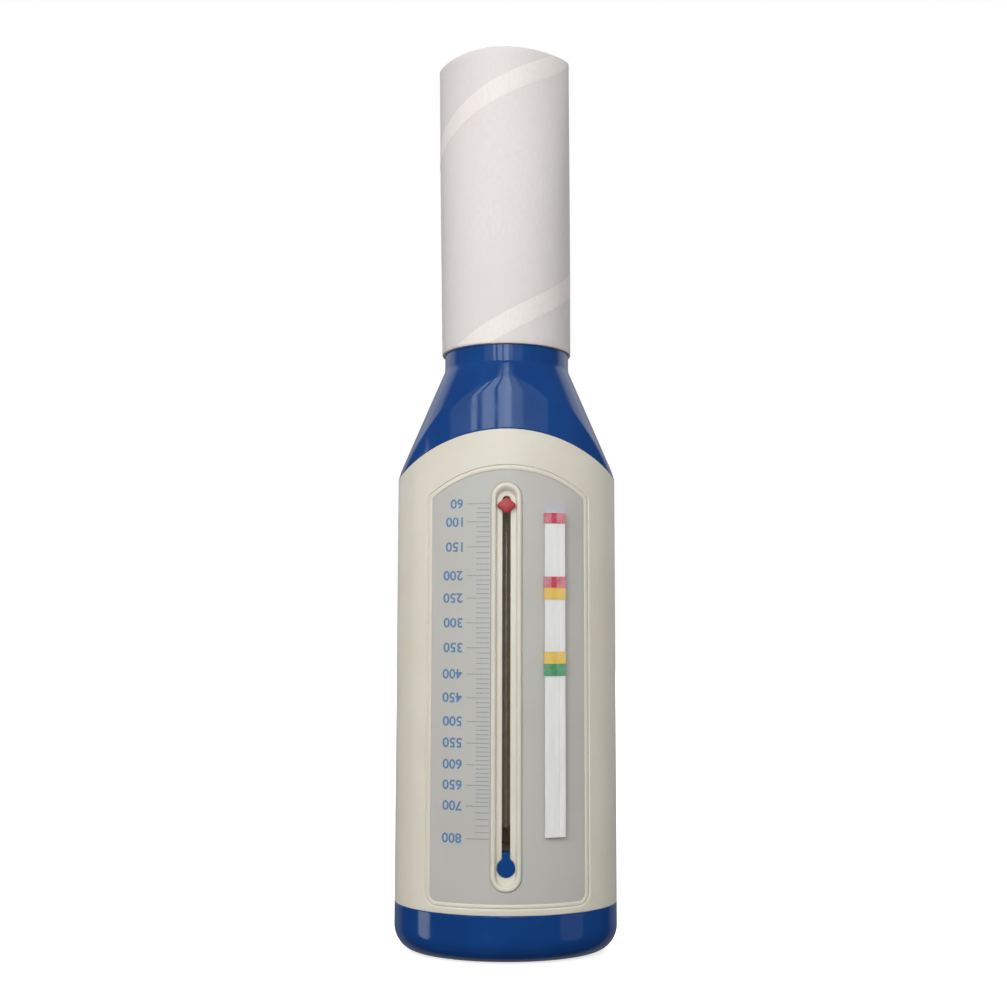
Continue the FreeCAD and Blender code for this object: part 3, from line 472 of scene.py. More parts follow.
def make_panel(material):
    """Thin curved panel with a window round the rim."""
    piece = Piece()
    outer, window = [], []
    for inset, lift in PANEL_EDGE:
        spread = PANEL_GAP + inset
        places = stadium(RIM_HALF + spread, RIM_LOW - spread, RIM_HIGH + spread)
        outer.append(piece.loop(on_body(panel_outline(PANEL_INSET + inset), lift)))
        window.append(piece.loop(on_body(places, lift)))
    piece.bridge(*outer)
    piece.bridge(*window)
    for side in (0, -1):
        lift = PANEL_EDGE[side][1]
        spots = clear_of(window[side], clear_of(outer[side], panel_spots()))
        edges = [outer[side], window[side]]
        piece.fill(edges, front_view, lambda x, z: (x, body_y(x, lift), z), spots)
    piece.build("panel_film", material, ["scale_panel"])


# Top cap
NECK_BASE_Z = 130.9
NECK_RADIUS = 14.4
CONE_TOP_RADIUS = 14.55
FLANK_SLOPE = math.tan(math.radians(23))
FRONT_SLOPE = 0.19
SLOPE_GAIN = 0.49
SLOPE_BLEND = 0.1
FRONT_BLEND = 0.22
FLANK_BLEND = 0.7
SPIGOT_RADIUS = 13.95
SPIGOT_TOP_Z = CAP_HIGH.z
SPIGOT_BORE = 12.5
COLLAR_BORE = 12.1
SPIDER_Z = 123.6
SKIRT_INSET = 1.9
CAP_ROWS = 90
CAP_CHAMFER = 0.15
# Foot of the neck: how far it is widened, rise. Top of the spigot: inset, drop.
NECK_FOOT = ((0.09, 0.2), (0.03, 0.45), (0.0, 0.8))
SPIGOT_EDGE = ((0.0, 0.8), (0.25, 0.35), (0.6, 0.05), (0.75, 0.0))

# Bottom cap
BASE_ROUNDING = 5.8
BASE_FLOOR = 2.2
SKIRT_WALL = 1.5
VENT_COUNT = 8
VENT_RADIUS = 1.6
VENT_CIRCLE = 6.6
BOSS_RADIUS = 3.6
BOSS_TOP_Z = 8.2
FOOT_BUSH_RADIUS = 1.8
FOOT_BUSH_Z = 3.2
# Wall of a vent from below: how far it is widened, height.
VENT_EDGE = ((0.18, 0.0), (0.05, 0.06), (0.0, 0.2), (0.0, BASE_FLOOR))


def heading(angle):
    """Direction from the axis to a point of the body's section, and its distance."""
    x, y = ellipse(angle, 0)
    length = math.hypot(x, y)
    return x / length, y / length, length


def round_loop(piece, radius, z):
    """Circle with as many points as the body's section, in the same directions."""
    headings = [heading(angle) for angle in full_turn()]
    return piece.loop([(radius * x, radius * y, z) for x, y, _ in headings])


def oval_loop(piece, inset, level):
    """The body's section, pulled in, at a level that may vary with x."""
    places = [ellipse(angle, inset) for angle in full_turn()]
    return piece.loop([(x, y, level(x)) for x, y in places])


def softer_of(first, second, blend):
    """Smaller of two values, rounded where they are nearly alike."""
    share = max(blend - abs(first - second), 0.0) / blend
    return min(first, second) - share * share * blend / 4


def make_top_cap(material):
    """Shoulder that runs from the body into a cone, then the neck and the spigot."""
    piece = Piece()
    shoulder = []
    for row in range(CAP_ROWS + 1):
        ring = []
        for angle in full_turn():
            side, front, section = heading(angle)
            share = side * side
            low = arch_z(ellipse(angle, 0)[0]) + SEAM_EDGE
            z = low + (NECK_BASE_Z - low) * row / CAP_ROWS
            slope = softer_of(FLANK_SLOPE, FRONT_SLOPE + SLOPE_GAIN * share, SLOPE_BLEND)
            blend = FRONT_BLEND + (FLANK_BLEND - FRONT_BLEND) * share
            radius = softer_of(section, CONE_TOP_RADIUS + (NECK_BASE_Z - z) * slope, blend)
            ring.append((side * radius, front * radius, z))
        shoulder.append(piece.loop(ring))
    neck_profile = [
        *((NECK_RADIUS + out, NECK_BASE_Z + rise) for out, rise in NECK_FOOT),
        (NECK_RADIUS, TUBE_LOW.z - CAP_CHAMFER), (NECK_RADIUS - CAP_CHAMFER, TUBE_LOW.z),
        (SPIGOT_RADIUS, TUBE_LOW.z),
        *((SPIGOT_RADIUS - inset, SPIGOT_TOP_Z - drop) for inset, drop in SPIGOT_EDGE),
        (SPIGOT_BORE + CAP_CHAMFER, SPIGOT_TOP_Z), (SPIGOT_BORE, SPIGOT_TOP_Z - CAP_CHAMFER),
        (SPIGOT_BORE, SPIDER_Z), (COLLAR_BORE, SPIDER_Z), (COLLAR_BORE, CAP_LOW.z),
    ]
    neck = [round_loop(piece, radius, z) for radius, z in neck_profile]
    edge = seam_loops(piece, arch_z, True)
    skirt_top = oval_loop(piece, SKIRT_INSET, arch_z)
    skirt_low = oval_loop(piece, SKIRT_INSET, lambda x: CAP_LOW.z)
    piece.bridge(skirt_low, skirt_top, *reversed(edge), *shoulder, *neck, skirt_low)
    piece.build("shoulder_cap", material, ["top_cap"], sharp=50)


def base_section(piece, drop):
    """Section of the bottom cap at a drop below the top of its rounding."""
    turn = math.asin(min(1.0, drop / BASE_ROUNDING))
    inset = BASE_ROUNDING * (1 - math.cos(turn))
    ring = []
    for angle in full_turn():
        x, y = ellipse(angle, 0)
        normal = Vector((x / HALF_WIDTH**2, y / HALF_DEPTH**2)).normalized()
        ring.append((x - normal.x * inset, y - normal.y * inset, BASE_ROUNDING - drop))
    return piece.loop(ring)


def circle_loop(piece, radius, z, x=0.0, y=0.0):
    turn = full_turn(CIRCLE_POINTS)
    return piece.loop([(x + radius * math.cos(a), y + radius * math.sin(a), z) for a in turn])


def make_bottom_cap(material):
    """Cup with a rounded lower edge, a skirt inside the sleeve, vents and the rod's boss."""
    piece = Piece()
    turns = 18
    drops = [BASE_ROUNDING * math.sin(math.pi / 2 * k / turns) for k in range(turns + 1)]
    outside = [base_section(piece, drop) for drop in drops]
    edge = seam_loops(piece, lambda x: SEAM_Z, False)
    upper = oval_loop(piece, 0, lambda x: SEAM_Z - SEAM_EDGE)
    middle = oval_loop(piece, 0, lambda x: (SEAM_Z + BASE_ROUNDING) / 2)
    levels = (
        (SKIRT_INSET, SEAM_Z), (SKIRT_INSET, BASE_HIGH.z),
        (SKIRT_INSET + SKIRT_WALL, BASE_HIGH.z), (SKIRT_INSET + SKIRT_WALL, BASE_FLOOR),
    )
    inside = [oval_loop(piece, inset, lambda x: z) for inset, z in levels]
    piece.bridge(*reversed(outside), middle, upper, *edge, *inside)
    vents_low, vents_high = [], []
    for angle in full_turn(VENT_COUNT):
        x, y = VENT_CIRCLE * math.cos(angle), VENT_CIRCLE * math.sin(angle)
        vent = [circle_loop(piece, VENT_RADIUS + spread, z, x, y) for spread, z in VENT_EDGE]
        piece.bridge(*vent)
        vents_low.append(vent[0])
        vents_high.append(vent[-1])
    boss_profile = (
        (BOSS_RADIUS, BASE_FLOOR), (BOSS_RADIUS, BOSS_TOP_Z),
        (FOOT_BUSH_RADIUS, BOSS_TOP_Z), (FOOT_BUSH_RADIUS, FOOT_BUSH_Z),
    )
    boss = [circle_loop(piece, radius, z) for radius, z in boss_profile]
    piece.bridge(*boss)
    piece.face(boss[-1])
    piece.fill([outside[-1], *vents_low], plan_view, lambda x, y: (x, y, 0.0))
    piece.fill([inside[-1], *vents_high, boss[0]], plan_view, lambda x, y: (x, y, BASE_FLOOR))
    piece.build("base_cap", material, ["bottom_cap"], sharp=50)


# Cardboard mouthpiece
TUBE_RADIUS = TUBE_HIGH.x
TUBE_WALL = 1.0
MOUTH_HALF = 15.6
MOUTH_FRONT = 11.6
MOUTH_BACK = 14.2
MOUTH_POINT = 0.65
MOUTH_SHIFT = -1.0
MOUTH_TURN = math.radians(-9.3)
TUBE_SHIFT = 0.08
TUBE_LEAN = 0.6
PLY_PITCH = 56.2
PLY_SLOPE = 0.92
PLY_WIDTH = 5.1
PLY_START_Z = 194.7
PLY_STEPS = 420
PLY_TURNS = 2.2
PLY_TURNS_BEFORE = 1.6
PLY_MARGIN = 0.35
PLY_THINNEST = 0.02
PLY_LIFTS = (-0.1, 0.045, 0.03, -0.1)
# Crushed rim of the tube: inset of both walls, distance from the end.
TUBE_RIM = ((0.22, 0.0), (0.06, 0.07))
TUBE_RIM_LENGTH = 0.25
TUBE_ROWS = 70


def tube_point(angle, z, radius):
    """Point of the tube's wall, round on the spigot and pressed at the mouth into a lens."""
    share = (z - TUBE_LOW.z) / (TUBE_HIGH.z - TUBE_LOW.z)
    free = max(0.0, (z - SPIGOT_TOP_Z) / (TUBE_HIGH.z - SPIGOT_TOP_Z))
    press = free * free * (3 - 2 * free)
    side, back = math.sin(angle), -math.cos(angle)
    depth = MOUTH_BACK if back > 0 else MOUTH_FRONT
    point = MOUTH_POINT * press**3
    u = side * (radius + (MOUTH_HALF - TUBE_RADIUS) * share)
    v = back * (1 - point + point * abs(back)) * (radius + (depth - TUBE_RADIUS) * press)
    v += MOUTH_SHIFT * press
    x = u * math.cos(MOUTH_TURN) - v * math.sin(MOUTH_TURN)
    y = u * math.sin(MOUTH_TURN) + v * math.cos(MOUTH_TURN)
    return x - TUBE_SHIFT - TUBE_LEAN * share, y, z


def make_tube(material):
    """Spiral-wound cardboard tube with softly crushed rims."""
    piece = Piece()
    outer, inner = TUBE_RADIUS, TUBE_RADIUS - TUBE_WALL
    low, high = TUBE_LOW.z, TUBE_HIGH.z
    straight = high - low - 2 * TUBE_RIM_LENGTH
    levels = [low + TUBE_RIM_LENGTH + straight * k / TUBE_ROWS for k in range(TUBE_ROWS + 1)]
    wall = [(inset, low + rise) for inset, rise in TUBE_RIM] + [(0.0, z) for z in levels]
    wall += [(inset, high - drop) for inset, drop in reversed(TUBE_RIM)]
    profile = [(outer - inset, z) for inset, z in wall]
    profile += [(inner + inset, z) for inset, z in reversed(wall)]
    angles = full_turn()
    loops = [piece.loop([tube_point(-a, z, radius) for a in angles]) for radius, z in profile]
    piece.bridge(*loops, loops[0])
    piece.build("card_tube", material, ["mouthpiece_tube"], "mouthpiece", sharp=80)


def make_ply(material):
    """Strip of paper wound round the tube, whose edges show as a light spiral band; its material is
    painted lighter than the tube, a painted highlight along the overlap.
    """
    piece = Piece()
    low, high = TUBE_LOW.z + PLY_MARGIN, TUBE_HIGH.z - PLY_MARGIN
    rings = []
    for step in range(PLY_STEPS + 1):
        angle = 2 * math.pi * (PLY_TURNS * step / PLY_STEPS - PLY_TURNS_BEFORE)
        turned = (angle - (1 - PLY_SLOPE) * math.sin(angle)) / (2 * math.pi)
        middle = PLY_START_Z + PLY_PITCH * turned
        bottom, top = (min(max(middle + side * PLY_WIDTH / 2, low), high) for side in (-1, 1))
        if top - bottom > PLY_THINNEST:
            section = zip((bottom, bottom, top, top), PLY_LIFTS)
            ring = [tube_point(angle, z, TUBE_RADIUS + lift) for z, lift in section]
            rings.append(piece.loop(ring))
    piece.bar(rings)
    piece.build("paper_ply", material, body="mouthpiece", sharp=30)


def on_rail(across, out, z):
    """Point near the rail: across its width and out from the body's surface."""
    x = RAIL_X + across * math.cos(RAIL_SLOPE) + out * math.sin(RAIL_SLOPE)
    y = body_y(RAIL_X) + across * math.sin(RAIL_SLOPE) - out * math.cos(RAIL_SLOPE)
    return x, y, z


def rail_bar(piece, section, low, high):
    """Bar along the rail with a section given across and out."""
    rings = [[on_rail(across, out, z) for across, out in section] for z in (low, high)]
    piece.bar([piece.loop(ring) for ring in rings])


def make_rail(material):
    """White rail with a wider head and a fine groove."""
    piece = Piece()
    head, stem = RAIL_HEAD / 2 + RAIL_EDGE, RAIL_STEM / 2
    under = RAIL_STAND - RAIL_THICKNESS
    groove, depth = 0.12, 0.1
    section = (
        (-stem, RECESS_FLOOR), (stem, RECESS_FLOOR), (stem, under), (head, under),
        (head, RAIL_STAND), (RAIL_GROOVE + groove, RAIL_STAND),
        (RAIL_GROOVE + groove / 3, RAIL_STAND - depth),
        (RAIL_GROOVE - groove / 3, RAIL_STAND - depth), (RAIL_GROOVE - groove, RAIL_STAND),
        (-head, RAIL_STAND), (-head, under), (-stem, under),
    )
    rail_bar(piece, section, RAIL_LOW.z, RAIL_HIGH.z)
    piece.build("zone_strip", material, ["zone_rail"], bevel=0.06)


def make_marker(place, colour, material):
    """Clip over the rail's head, with a fine rib down its front."""
    body = f"{place}_marker"
    node = f"{body}_{colour}"
    low, high = corners(node)
    gap, wall, lip = 0.1, 0.1, 0.3
    inner = RAIL_HEAD / 2 + gap
    outer = inner + wall
    mouth = RAIL_STEM / 2 + gap
    front = RAIL_STAND + gap
    back = RAIL_STAND - RAIL_THICKNESS - gap
    rib, crest, rise = 0.32, 0.192, 0.04
    face = front + wall - rise
    section = (
        (mouth, back - lip), (outer, back - lip), (outer, face), (MARKER_RIB + rib, face),
        (MARKER_RIB + crest, front + wall), (MARKER_RIB - crest, front + wall),
        (MARKER_RIB - rib, face), (-outer, face), (-outer, back - lip), (-mouth, back - lip),
        (-mouth, back), (-inner, back), (-inner, front), (inner, front), (inner, back),
        (mouth, back),
    )
    piece = Piece()
    rail_bar(piece, section, low.z, high.z)
    piece.build(f"{place}_clip_{colour}", material, [node], body, bevel=0.05)


def prism(piece, outline, front, back, rounding):
    """Solid of an outline from front to back, its front edge rounded. Returns the loop of its face.

    outline gives the places for an inset, and front and back are depths along Y."""
    loops = [piece.loop([(x, back, z) for x, z in outline(0.0)])]
    for step in range(ROUNDING_STEPS + 1):
        turn = math.pi / 2 * step / ROUNDING_STEPS
        inset = rounding * (1 - math.cos(turn))
        y = front + rounding * (1 - math.sin(turn))
        loops.append(piece.loop([(x, y, z) for x, z in outline(inset)]))
    piece.bridge(*loops)
    piece.face(loops[0])
    return loops[-1]


def make_plug(material):
    """Keyhole-shaped plug that closes the lower end of the slot."""
    piece = Piece()
    gap, rounding = 0.05, 0.16

    def outline(inset):
        return keyhole(-gap - inset, PLUG_HIGH.z - inset, round_top=False)

    piece.face(prism(piece, outline, PLUG_LOW.y, PLUG_HIGH.y, rounding))
    piece.build("keyhole_plug", material, ["slot_end_plug"])


POINTER_CORNER = 0.7
POINTER_ROUNDING = 0.28
POINTER_CROWN = 0.06
# Crowned face: share of the outline, rise over the outline.
POINTER_FACE = ((0.8, 0.03), (0.5, 0.05), (0.2, POINTER_CROWN))


def diamond(half_width, half_height, corner, inset):
    """Diamond with rounded corners whose tips touch the given half sizes, pulled in by an inset."""
    slope = math.atan2(half_height, half_width)
    sharp_x = half_width + corner * (1 / math.sin(slope) - 1)
    sharp_z = half_height + corner * (1 / math.cos(slope) - 1)
    radius = max(corner - inset, 0.05)
    side = sharp_x - corner / math.sin(slope)
    tip = sharp_z - corner / math.cos(slope)
    lean = math.pi / 2 - slope
    count = 9
    points = arc(side, 0, radius, -lean, lean, count)
    points += arc(0, tip, radius, lean, math.pi - lean, count)
    points += arc(-side, 0, radius, math.pi - lean, math.pi + lean, count)
    return points + arc(0, -tip, radius, math.pi + lean, 2 * math.pi - lean, count)


def make_pointer(material):
    """Red pointer with a softly crowned face."""
    piece = Piece()
    middle = (POINTER_LOW.z + POINTER_HIGH.z) / 2
    half_width = POINTER_HIGH.x
    half_height = (POINTER_HIGH.z - POINTER_LOW.z) / 2

    def outline(inset):
        return [(x, z + middle) for x, z in diamond(half_width, half_height, POINTER_CORNER, inset)]

    front = POINTER_LOW.y + POINTER_CROWN
    face = prism(piece, outline, front, POINTER_HIGH.y, POINTER_ROUNDING)
    rim = [(vertex.co.x, vertex.co.z - middle) for vertex in face]
    loops = [face]
    for share, rise in POINTER_FACE:
        loops.append(piece.loop([(x * share, front - rise, z * share + middle) for x, z in rim]))
    piece.bridge(*loops)
    piece.face(loops[-1])
    piece.build("pointer_button", material, ["pointer_cap"], "pointer", sharp=60)


# Return spring, closed at rest and stretched by the piston
SPRING_WIRE = 0.2
SPRING_PITCH = 1.0
STEPS_PER_TURN = 28
WIRE_POINTS = 8


def make_spring(material):
    """Coil of round wire, made at rest."""
    piece = Piece()
    radius = SPRING_HIGH.x - SPRING_WIRE
    low, high = SPRING_LOW.z + SPRING_WIRE, SPRING_HIGH.z - SPRING_WIRE
    turns = (high - low) / SPRING_PITCH
    steps = int(turns * STEPS_PER_TURN)
    rings = []
    for step in range(steps + 1):
        angle = 2 * math.pi * turns * step / steps
        z = low + (high - low) * step / steps
        ring = []
        for turn in full_turn(WIRE_POINTS):
            out, up = radius + SPRING_WIRE * math.cos(turn), SPRING_WIRE * math.sin(turn)
            ring.append((out * math.cos(angle), out * math.sin(angle), z + up))
        rings.append(piece.loop(ring))
    piece.bar(rings)
    spring = piece.build("spring_coil", material, ["return_spring"], None, sharp=80)
    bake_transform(spring)


# Printed scale: flow against height over the base
GRADUATIONS = {
    60: 99.2, 100: 95.2, 150: 89.7, 200: 83.4, 250: 78.5, 300: 73.1, 350: 67.7, 400: 62.0,
    450: 56.9, 500: 51.8, 550: 47.2, 600: 42.6, 650: 38.2, 700: 33.8, 800: 26.9,
}
TICK_RIGHT = -3.75
TICK_LONG = 4.95
TICK_SHORT = 2.85
TICK_HEIGHT = 0.17
NUMBER_RIGHT = -9.6
NUMBER_HEIGHT = 2.15
PRINT_RISE = 0.02
PRINT_STEP = 0.5
# Rectangle over the rail: left, right, low, high.
PATCH = (RAIL_X - 2.45, RAIL_X + 3.1, RAIL_HIGH.z + 0.1, RAIL_HIGH.z + 2.2)


def tick_heights():
    """Heights of all ticks, and whether each is a numbered one."""
    values = sorted(GRADUATIONS)
    ticks = []
    for start, end in zip(values, values[1:]):
        step = 20 if end > 700 else 10
        for value in range(start, end, step):
            share = (value - start) / (end - start)
            height = GRADUATIONS[start] + share * (GRADUATIONS[end] - GRADUATIONS[start])
            ticks.append((height, value == start))
    return ticks + [(GRADUATIONS[values[-1]], True)]


def printed_bar(piece, left, right, low, high):
    """Thin printed rectangle that follows the panel."""
    steps = max(1, int((right - left) / PRINT_STEP))
    rings = []
    for step in range(steps + 1):
        x = left + (right - left) * step / steps
        back, front = (body_y(x, PANEL_LIFT + side * PRINT_RISE) for side in (-1, 1))
        ring = [(x, back, low), (x, front, low), (x, front, high), (x, back, high)]
        rings.append(piece.loop(ring))
    piece.bar(rings)


def make_ticks(material):
    piece = Piece()
    for height, long in tick_heights():
        length = TICK_LONG if long else TICK_SHORT
        low = height - TICK_HEIGHT / 2
        printed_bar(piece, TICK_RIGHT - length, TICK_RIGHT, low, low + TICK_HEIGHT)
    piece.build("scale_ticks", material, sharp=20)


def make_patch(material):
    """Faint plain rectangle printed above the rail."""
    piece = Piece()
    printed_bar(piece, *PATCH)
    piece.build("scale_patch", material, sharp=20)


def number_mesh(text):
    """Mesh of a printed number, flat with a little thickness, in font units."""
    curve = bpy.data.curves.new("number", "FONT")
    curve.body = text
    curve.extrude = 0.5
    curve.offset = 0.02
    curve.resolution_u = 4
    writing = placed("number", curve)
    bpy.context.view_layer.update()
    shape = writing.evaluated_get(bpy.context.evaluated_depsgraph_get())
    data = bpy.data.meshes.new_from_object(shape)
    bpy.data.objects.remove(writing)
    return data


def make_numbers(material):
    """Numbers of the scale, which read upright with the mouthpiece down."""
    piece = Piece()
    for value, height in GRADUATIONS.items():
        data = number_mesh(str(value))
        left = min(vertex.co.x for vertex in data.vertices)
        ys = [vertex.co.y for vertex in data.vertices]
        low, high = min(ys), max(ys)
        size = NUMBER_HEIGHT / (high - low)
        first = len(piece.mesh.verts)
        piece.mesh.from_mesh(data)
        piece.mesh.verts.ensure_lookup_table()
        for vertex in piece.mesh.verts[first:]:
            x = NUMBER_RIGHT - (vertex.co.x - left) * size
            z = height - (vertex.co.y - (low + high) / 2) * size
            rise = PRINT_RISE if vertex.co.z > 0 else -PRINT_RISE
            vertex.co = (x, body_y(x, PANEL_LIFT + rise), z)
        bpy.data.meshes.remove(data)
    piece.build("scale_numbers", material, sharp=20)


def linear(*levels):
    """Colour from screen levels of 0 to 255."""
    shares = [level / 255 for level in levels]
    channels = [c / 12.92 if c <= 0.04045 else ((c + 0.055) / 1.055) ** 2.4 for c in shares]
    return (*channels, 1.0)


def join(tree, value, socket):
    """Link an output to a socket, or set the socket to a plain value."""
    if isinstance(value, bpy.types.NodeSocket):
        tree.links.new(value, socket)
    else:
        socket.default_value = value


def join_all(tree, node, **sockets):
    """Join values to a node's sockets; _ in a name stands for a space."""
    for name, value in sockets.items():
        join(tree, value, node.inputs[name.replace("_", " ")])


def node_of(tree, kind, **sockets):
    """New shader node with named sockets joined to values."""
    node = tree.nodes.new("ShaderNode" + kind)
    join_all(tree, node, **sockets)
    return node


def result_of(tree, kind, *values, operation=None):
    """First output of a new node whose sockets take the values in their order."""
    node = tree.nodes.new("ShaderNode" + kind)
    if operation:
        node.operation = operation
    for value, socket in zip(values, node.inputs):
        join(tree, value, socket)
    return node.outputs[0]


def ranged(tree, value, start, end, low, high, soft=False):
    """Value between start and end, mapped to low and high."""
    limits = {"From_Min": start, "From_Max": end, "To_Min": low, "To_Max": high}
    node = node_of(tree, "MapRange", Value=value, **limits)
    node.interpolation_type = "SMOOTHSTEP" if soft else "LINEAR"
    return node.outputs["Result"]


# Where a noise starts and ends to count.
NOISE_SPAN = (0.3, 0.7)


class Finish:
    """Procedural material on a Principled shader.

    Colours are screen levels. A grain is a noise's size in millimetres, detail and stretch."""

    def __init__(self, name, colour, roughness, **sockets):
        self.material = bpy.data.materials.new(name)
        self.material.use_nodes = True
        self.tree = self.material.node_tree
        self.shader = self.tree.nodes["Principled BSDF"]
        self.place = node_of(self.tree, "TexCoord").outputs["Object"]
        self.colour = linear(*colour)
        self.normal = None
        join_all(self.tree, self.shader, Base_Color=self.colour, Roughness=roughness, **sockets)

    def noise(self, size, detail, stretch=(1, 1, 1)):
        place = node_of(self.tree, "Mapping", Vector=self.place, Scale=stretch).outputs["Vector"]
        node = node_of(self.tree, "TexNoise", Vector=place, Scale=1 / (size * MM), Detail=detail)
        return node.outputs["Fac"]

    def off_centre(self, centre):
        """Distance from a vertical plane, in millimetres."""
        x = result_of(self.tree, "SeparateXYZ", self.place)
        shift = result_of(self.tree, "Math", x, 1 / MM, -centre, operation="MULTIPLY_ADD")
        return result_of(self.tree, "Math", shift, operation="ABSOLUTE")

    def blend_colour(self, grain, other, span=NOISE_SPAN):
        """Blend the base colour towards another one where a grain or an output is high."""
        value = self.noise(*grain) if isinstance(grain, tuple) else grain
        socket = self.shader.inputs["Base Color"]
        below = socket.links[0].from_socket if socket.is_linked else self.colour
        mix = self.tree.nodes.new("ShaderNodeMix")
        mix.data_type = "RGBA"
        share = ranged(self.tree, value, *span, 0.0, 1.0)
        join_all(self.tree, mix, Factor=share, A=below, B=linear(*other))
        self.tree.links.new(mix.outputs["Result"], socket)

    def vary_roughness(self, grain, low, high):
        value = ranged(self.tree, self.noise(*grain), *NOISE_SPAN, low, high)
        join(self.tree, value, self.shader.inputs["Roughness"])

    def bump(self, grain, height):
        """Relief of a height in millimetres. Returns the material."""
        relief = self.noise(*grain)
        node = node_of(self.tree, "Bump", Strength=1.0, Distance=height * MM, Height=relief)
        if self.normal:
            join(self.tree, self.normal, node.inputs["Normal"])
        self.normal = node.outputs["Normal"]
        join(self.tree, self.normal, self.shader.inputs["Normal"])
        return self.material


def blue_plastic():
    finish = Finish("blue_plastic", (23, 71, 141), 0.1)
    finish.blend_colour((9, 2), (19, 64, 131))
    finish.vary_roughness((4, 5), 0.06, 0.13)
    finish.bump((5, 1), 0.012)
    return finish.bump((0.9, 2), 0.0012)


def tinted_plastic(name, pale, deep):
    """Clear tinted plastic that looks deeper along its middle."""
    finish = Finish(name, deep, 0.22)
    finish.blend_colour(finish.off_centre(RAIL_X), pale, (0.4, 0.75))
    finish.blend_colour((1.3, 2), deep, (0.45, 0.95))
    finish.vary_roughness((1.2, 3), 0.16, 0.32)
    return finish.bump((0.8, 2), 0.003)


PAPER_GRAIN = (0.5, 4, (1, 1, 0.35))
FIBRES = (0.35, 5, (1, 1, 0.4))


def card_paper():
    finish = Finish("card_paper", (236, 232, 231), 0.78)
    finish.blend_colour(PAPER_GRAIN, (229, 225, 224))
    finish.blend_colour((22, 2), (231, 227, 227))
    finish.bump(FIBRES, 0.006)
    return finish.bump((2.5, 3), 0.01)


def coat(name, colour, other, roughness, grain, relief, height, patches=None, **sockets):
    """Material whose colour turns a little towards another one over a grain, with a fine relief.

    patches are a grain of the roughness and its range."""
    finish = Finish(name, colour, roughness, **sockets)
    finish.blend_colour(grain, other)
    if patches:
        finish.vary_roughness(*patches)
    return finish.bump(relief, height)


def cream_plastic():
    patches = (5, 4), 0.28, 0.42
    depth = {"Subsurface_Weight": 0.1, "Subsurface_Scale": 0.6 * MM}
    colours = (231, 228, 217), (227, 223, 209)
    return coat("cream_plastic", *colours, 0.34, (12, 3), (0.5, 2), 0.0015, patches, **depth)


def panel_film():
    patches = (3, 4), 0.34, 0.5
    colours = (199, 199, 195), (193, 193, 189)
    return coat("panel_film", *colours, 0.42, (16, 2), (0.7, 3), 0.0012, patches)


def rail_plastic():
    colours = (246, 248, 247), (236, 238, 237)
    return coat("rail_plastic", *colours, 0.35, (1.6, 3, (1, 1, 0.15)), (0.6, 3), 0.002)


def ink(name, colour, thin):
    return coat(name, colour, thin, 0.5, (0.5, 3), (0.2, 2), 0.001)


def plain_plastic(name, colour, worn, roughness, **sockets):
    patches = (2, 3), roughness * 0.8, roughness * 1.2
    return coat(name, colour, worn, roughness, (3, 4), (0.5, 2), 0.002, patches, **sockets)


def metal(name, colour, dull, roughness, along=(1, 1, 1), **sockets):
    patches = (1.0, 4, along), roughness * 0.7, roughness * 1.3
    sockets["Metallic"] = 1.0
    return coat(name, colour, dull, roughness, (1.5, 3), (0.3, 2, along), 0.001, patches, **sockets)


def dress(material, *nodes):
    """Give CAD nodes that stay visible their material."""
    for node in nodes:
        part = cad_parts[node]
        if not part.material_slots:
            part.data.materials.append(material)
        for held in part.material_slots:
            held.material = material


def dress_inside():
    """Materials of the pieces inside the body; the barrel and the rod glow a little, painted light
    that stands in for the dim light reaching them deep in the slot.
    """
    # Emission on the barrel and on the steel of the rod and clip is painted light: it makes the
    # inside of the slot look lit, because no lamp lights it enough.
    barrel_painted_light = {"Emission_Color": linear(86, 79, 66), "Emission_Strength": 0.95}
    rod_painted_light = {"Emission_Color": linear(120, 116, 108), "Emission_Strength": 0.1}
    along = (1, 1, 0.2)
    barrel = plain_plastic("barrel_plastic", (128, 118, 100), (112, 102, 86), 0.5, **barrel_painted_light)
    dark = plain_plastic("carriage_plastic", (44, 40, 38), (58, 54, 50), 0.45)
    grey = plain_plastic("grey_plastic", (150, 152, 154), (138, 140, 142), 0.4)
    stop = plain_plastic("stop_rubber", (128, 117, 101), (70, 64, 56), 0.7)
    rubber = plain_plastic("rubber", (38, 38, 40), (52, 52, 54), 0.75)
    steel = metal("polished_steel", (196, 194, 190), (176, 174, 170), 0.38, along, **rod_painted_light)
    brass = metal("brass", (205, 172, 98), (180, 148, 82), 0.3)
    felt = coat("felt", (70, 66, 62), (96, 90, 84), 0.95, (0.15, 4), (0.12, 4), 0.03)
    dress(barrel, "inner_barrel")
    dress(dark, "pointer_carriage", "piston_disc")
    dress(grey, "top_spider", "piston_bush", "stop_spacer")
    dress(stop, "bottom_bump_stop")
    dress(rubber, "top_gasket", "bottom_gasket")
    dress(steel, "guide_rod", "piston_clip")
    dress(brass, "rod_nut", "rod_foot_bush")
    dress(felt, "pointer_felt")


def make_markers():
    tints = {
        "red": tinted_plastic("red_tint", (222, 146, 158), (204, 78, 98)),
        "yellow": tinted_plastic("yellow_tint", (240, 208, 124), (238, 202, 90)),
        "green": tinted_plastic("green_tint", (112, 172, 132), (72, 156, 106)),
    }
    colours = {"upper": ("red",), "middle": ("red", "yellow"), "lower": ("yellow", "green")}
    for place in colours:
        for colour in colours[place]:
            make_marker(place, colour, tints[colour])


# Camera, in front of the body and tilted up: place in millimetres, angles in degrees
FOCAL_PIXELS = 1200
IMAGE_PIXELS = 1007
SENSOR = 36
CAMERA_PLACE = (-0.68, -277.8, 75.87)
CAMERA_TILT = 5.08
CAMERA_ROLL = 0.12


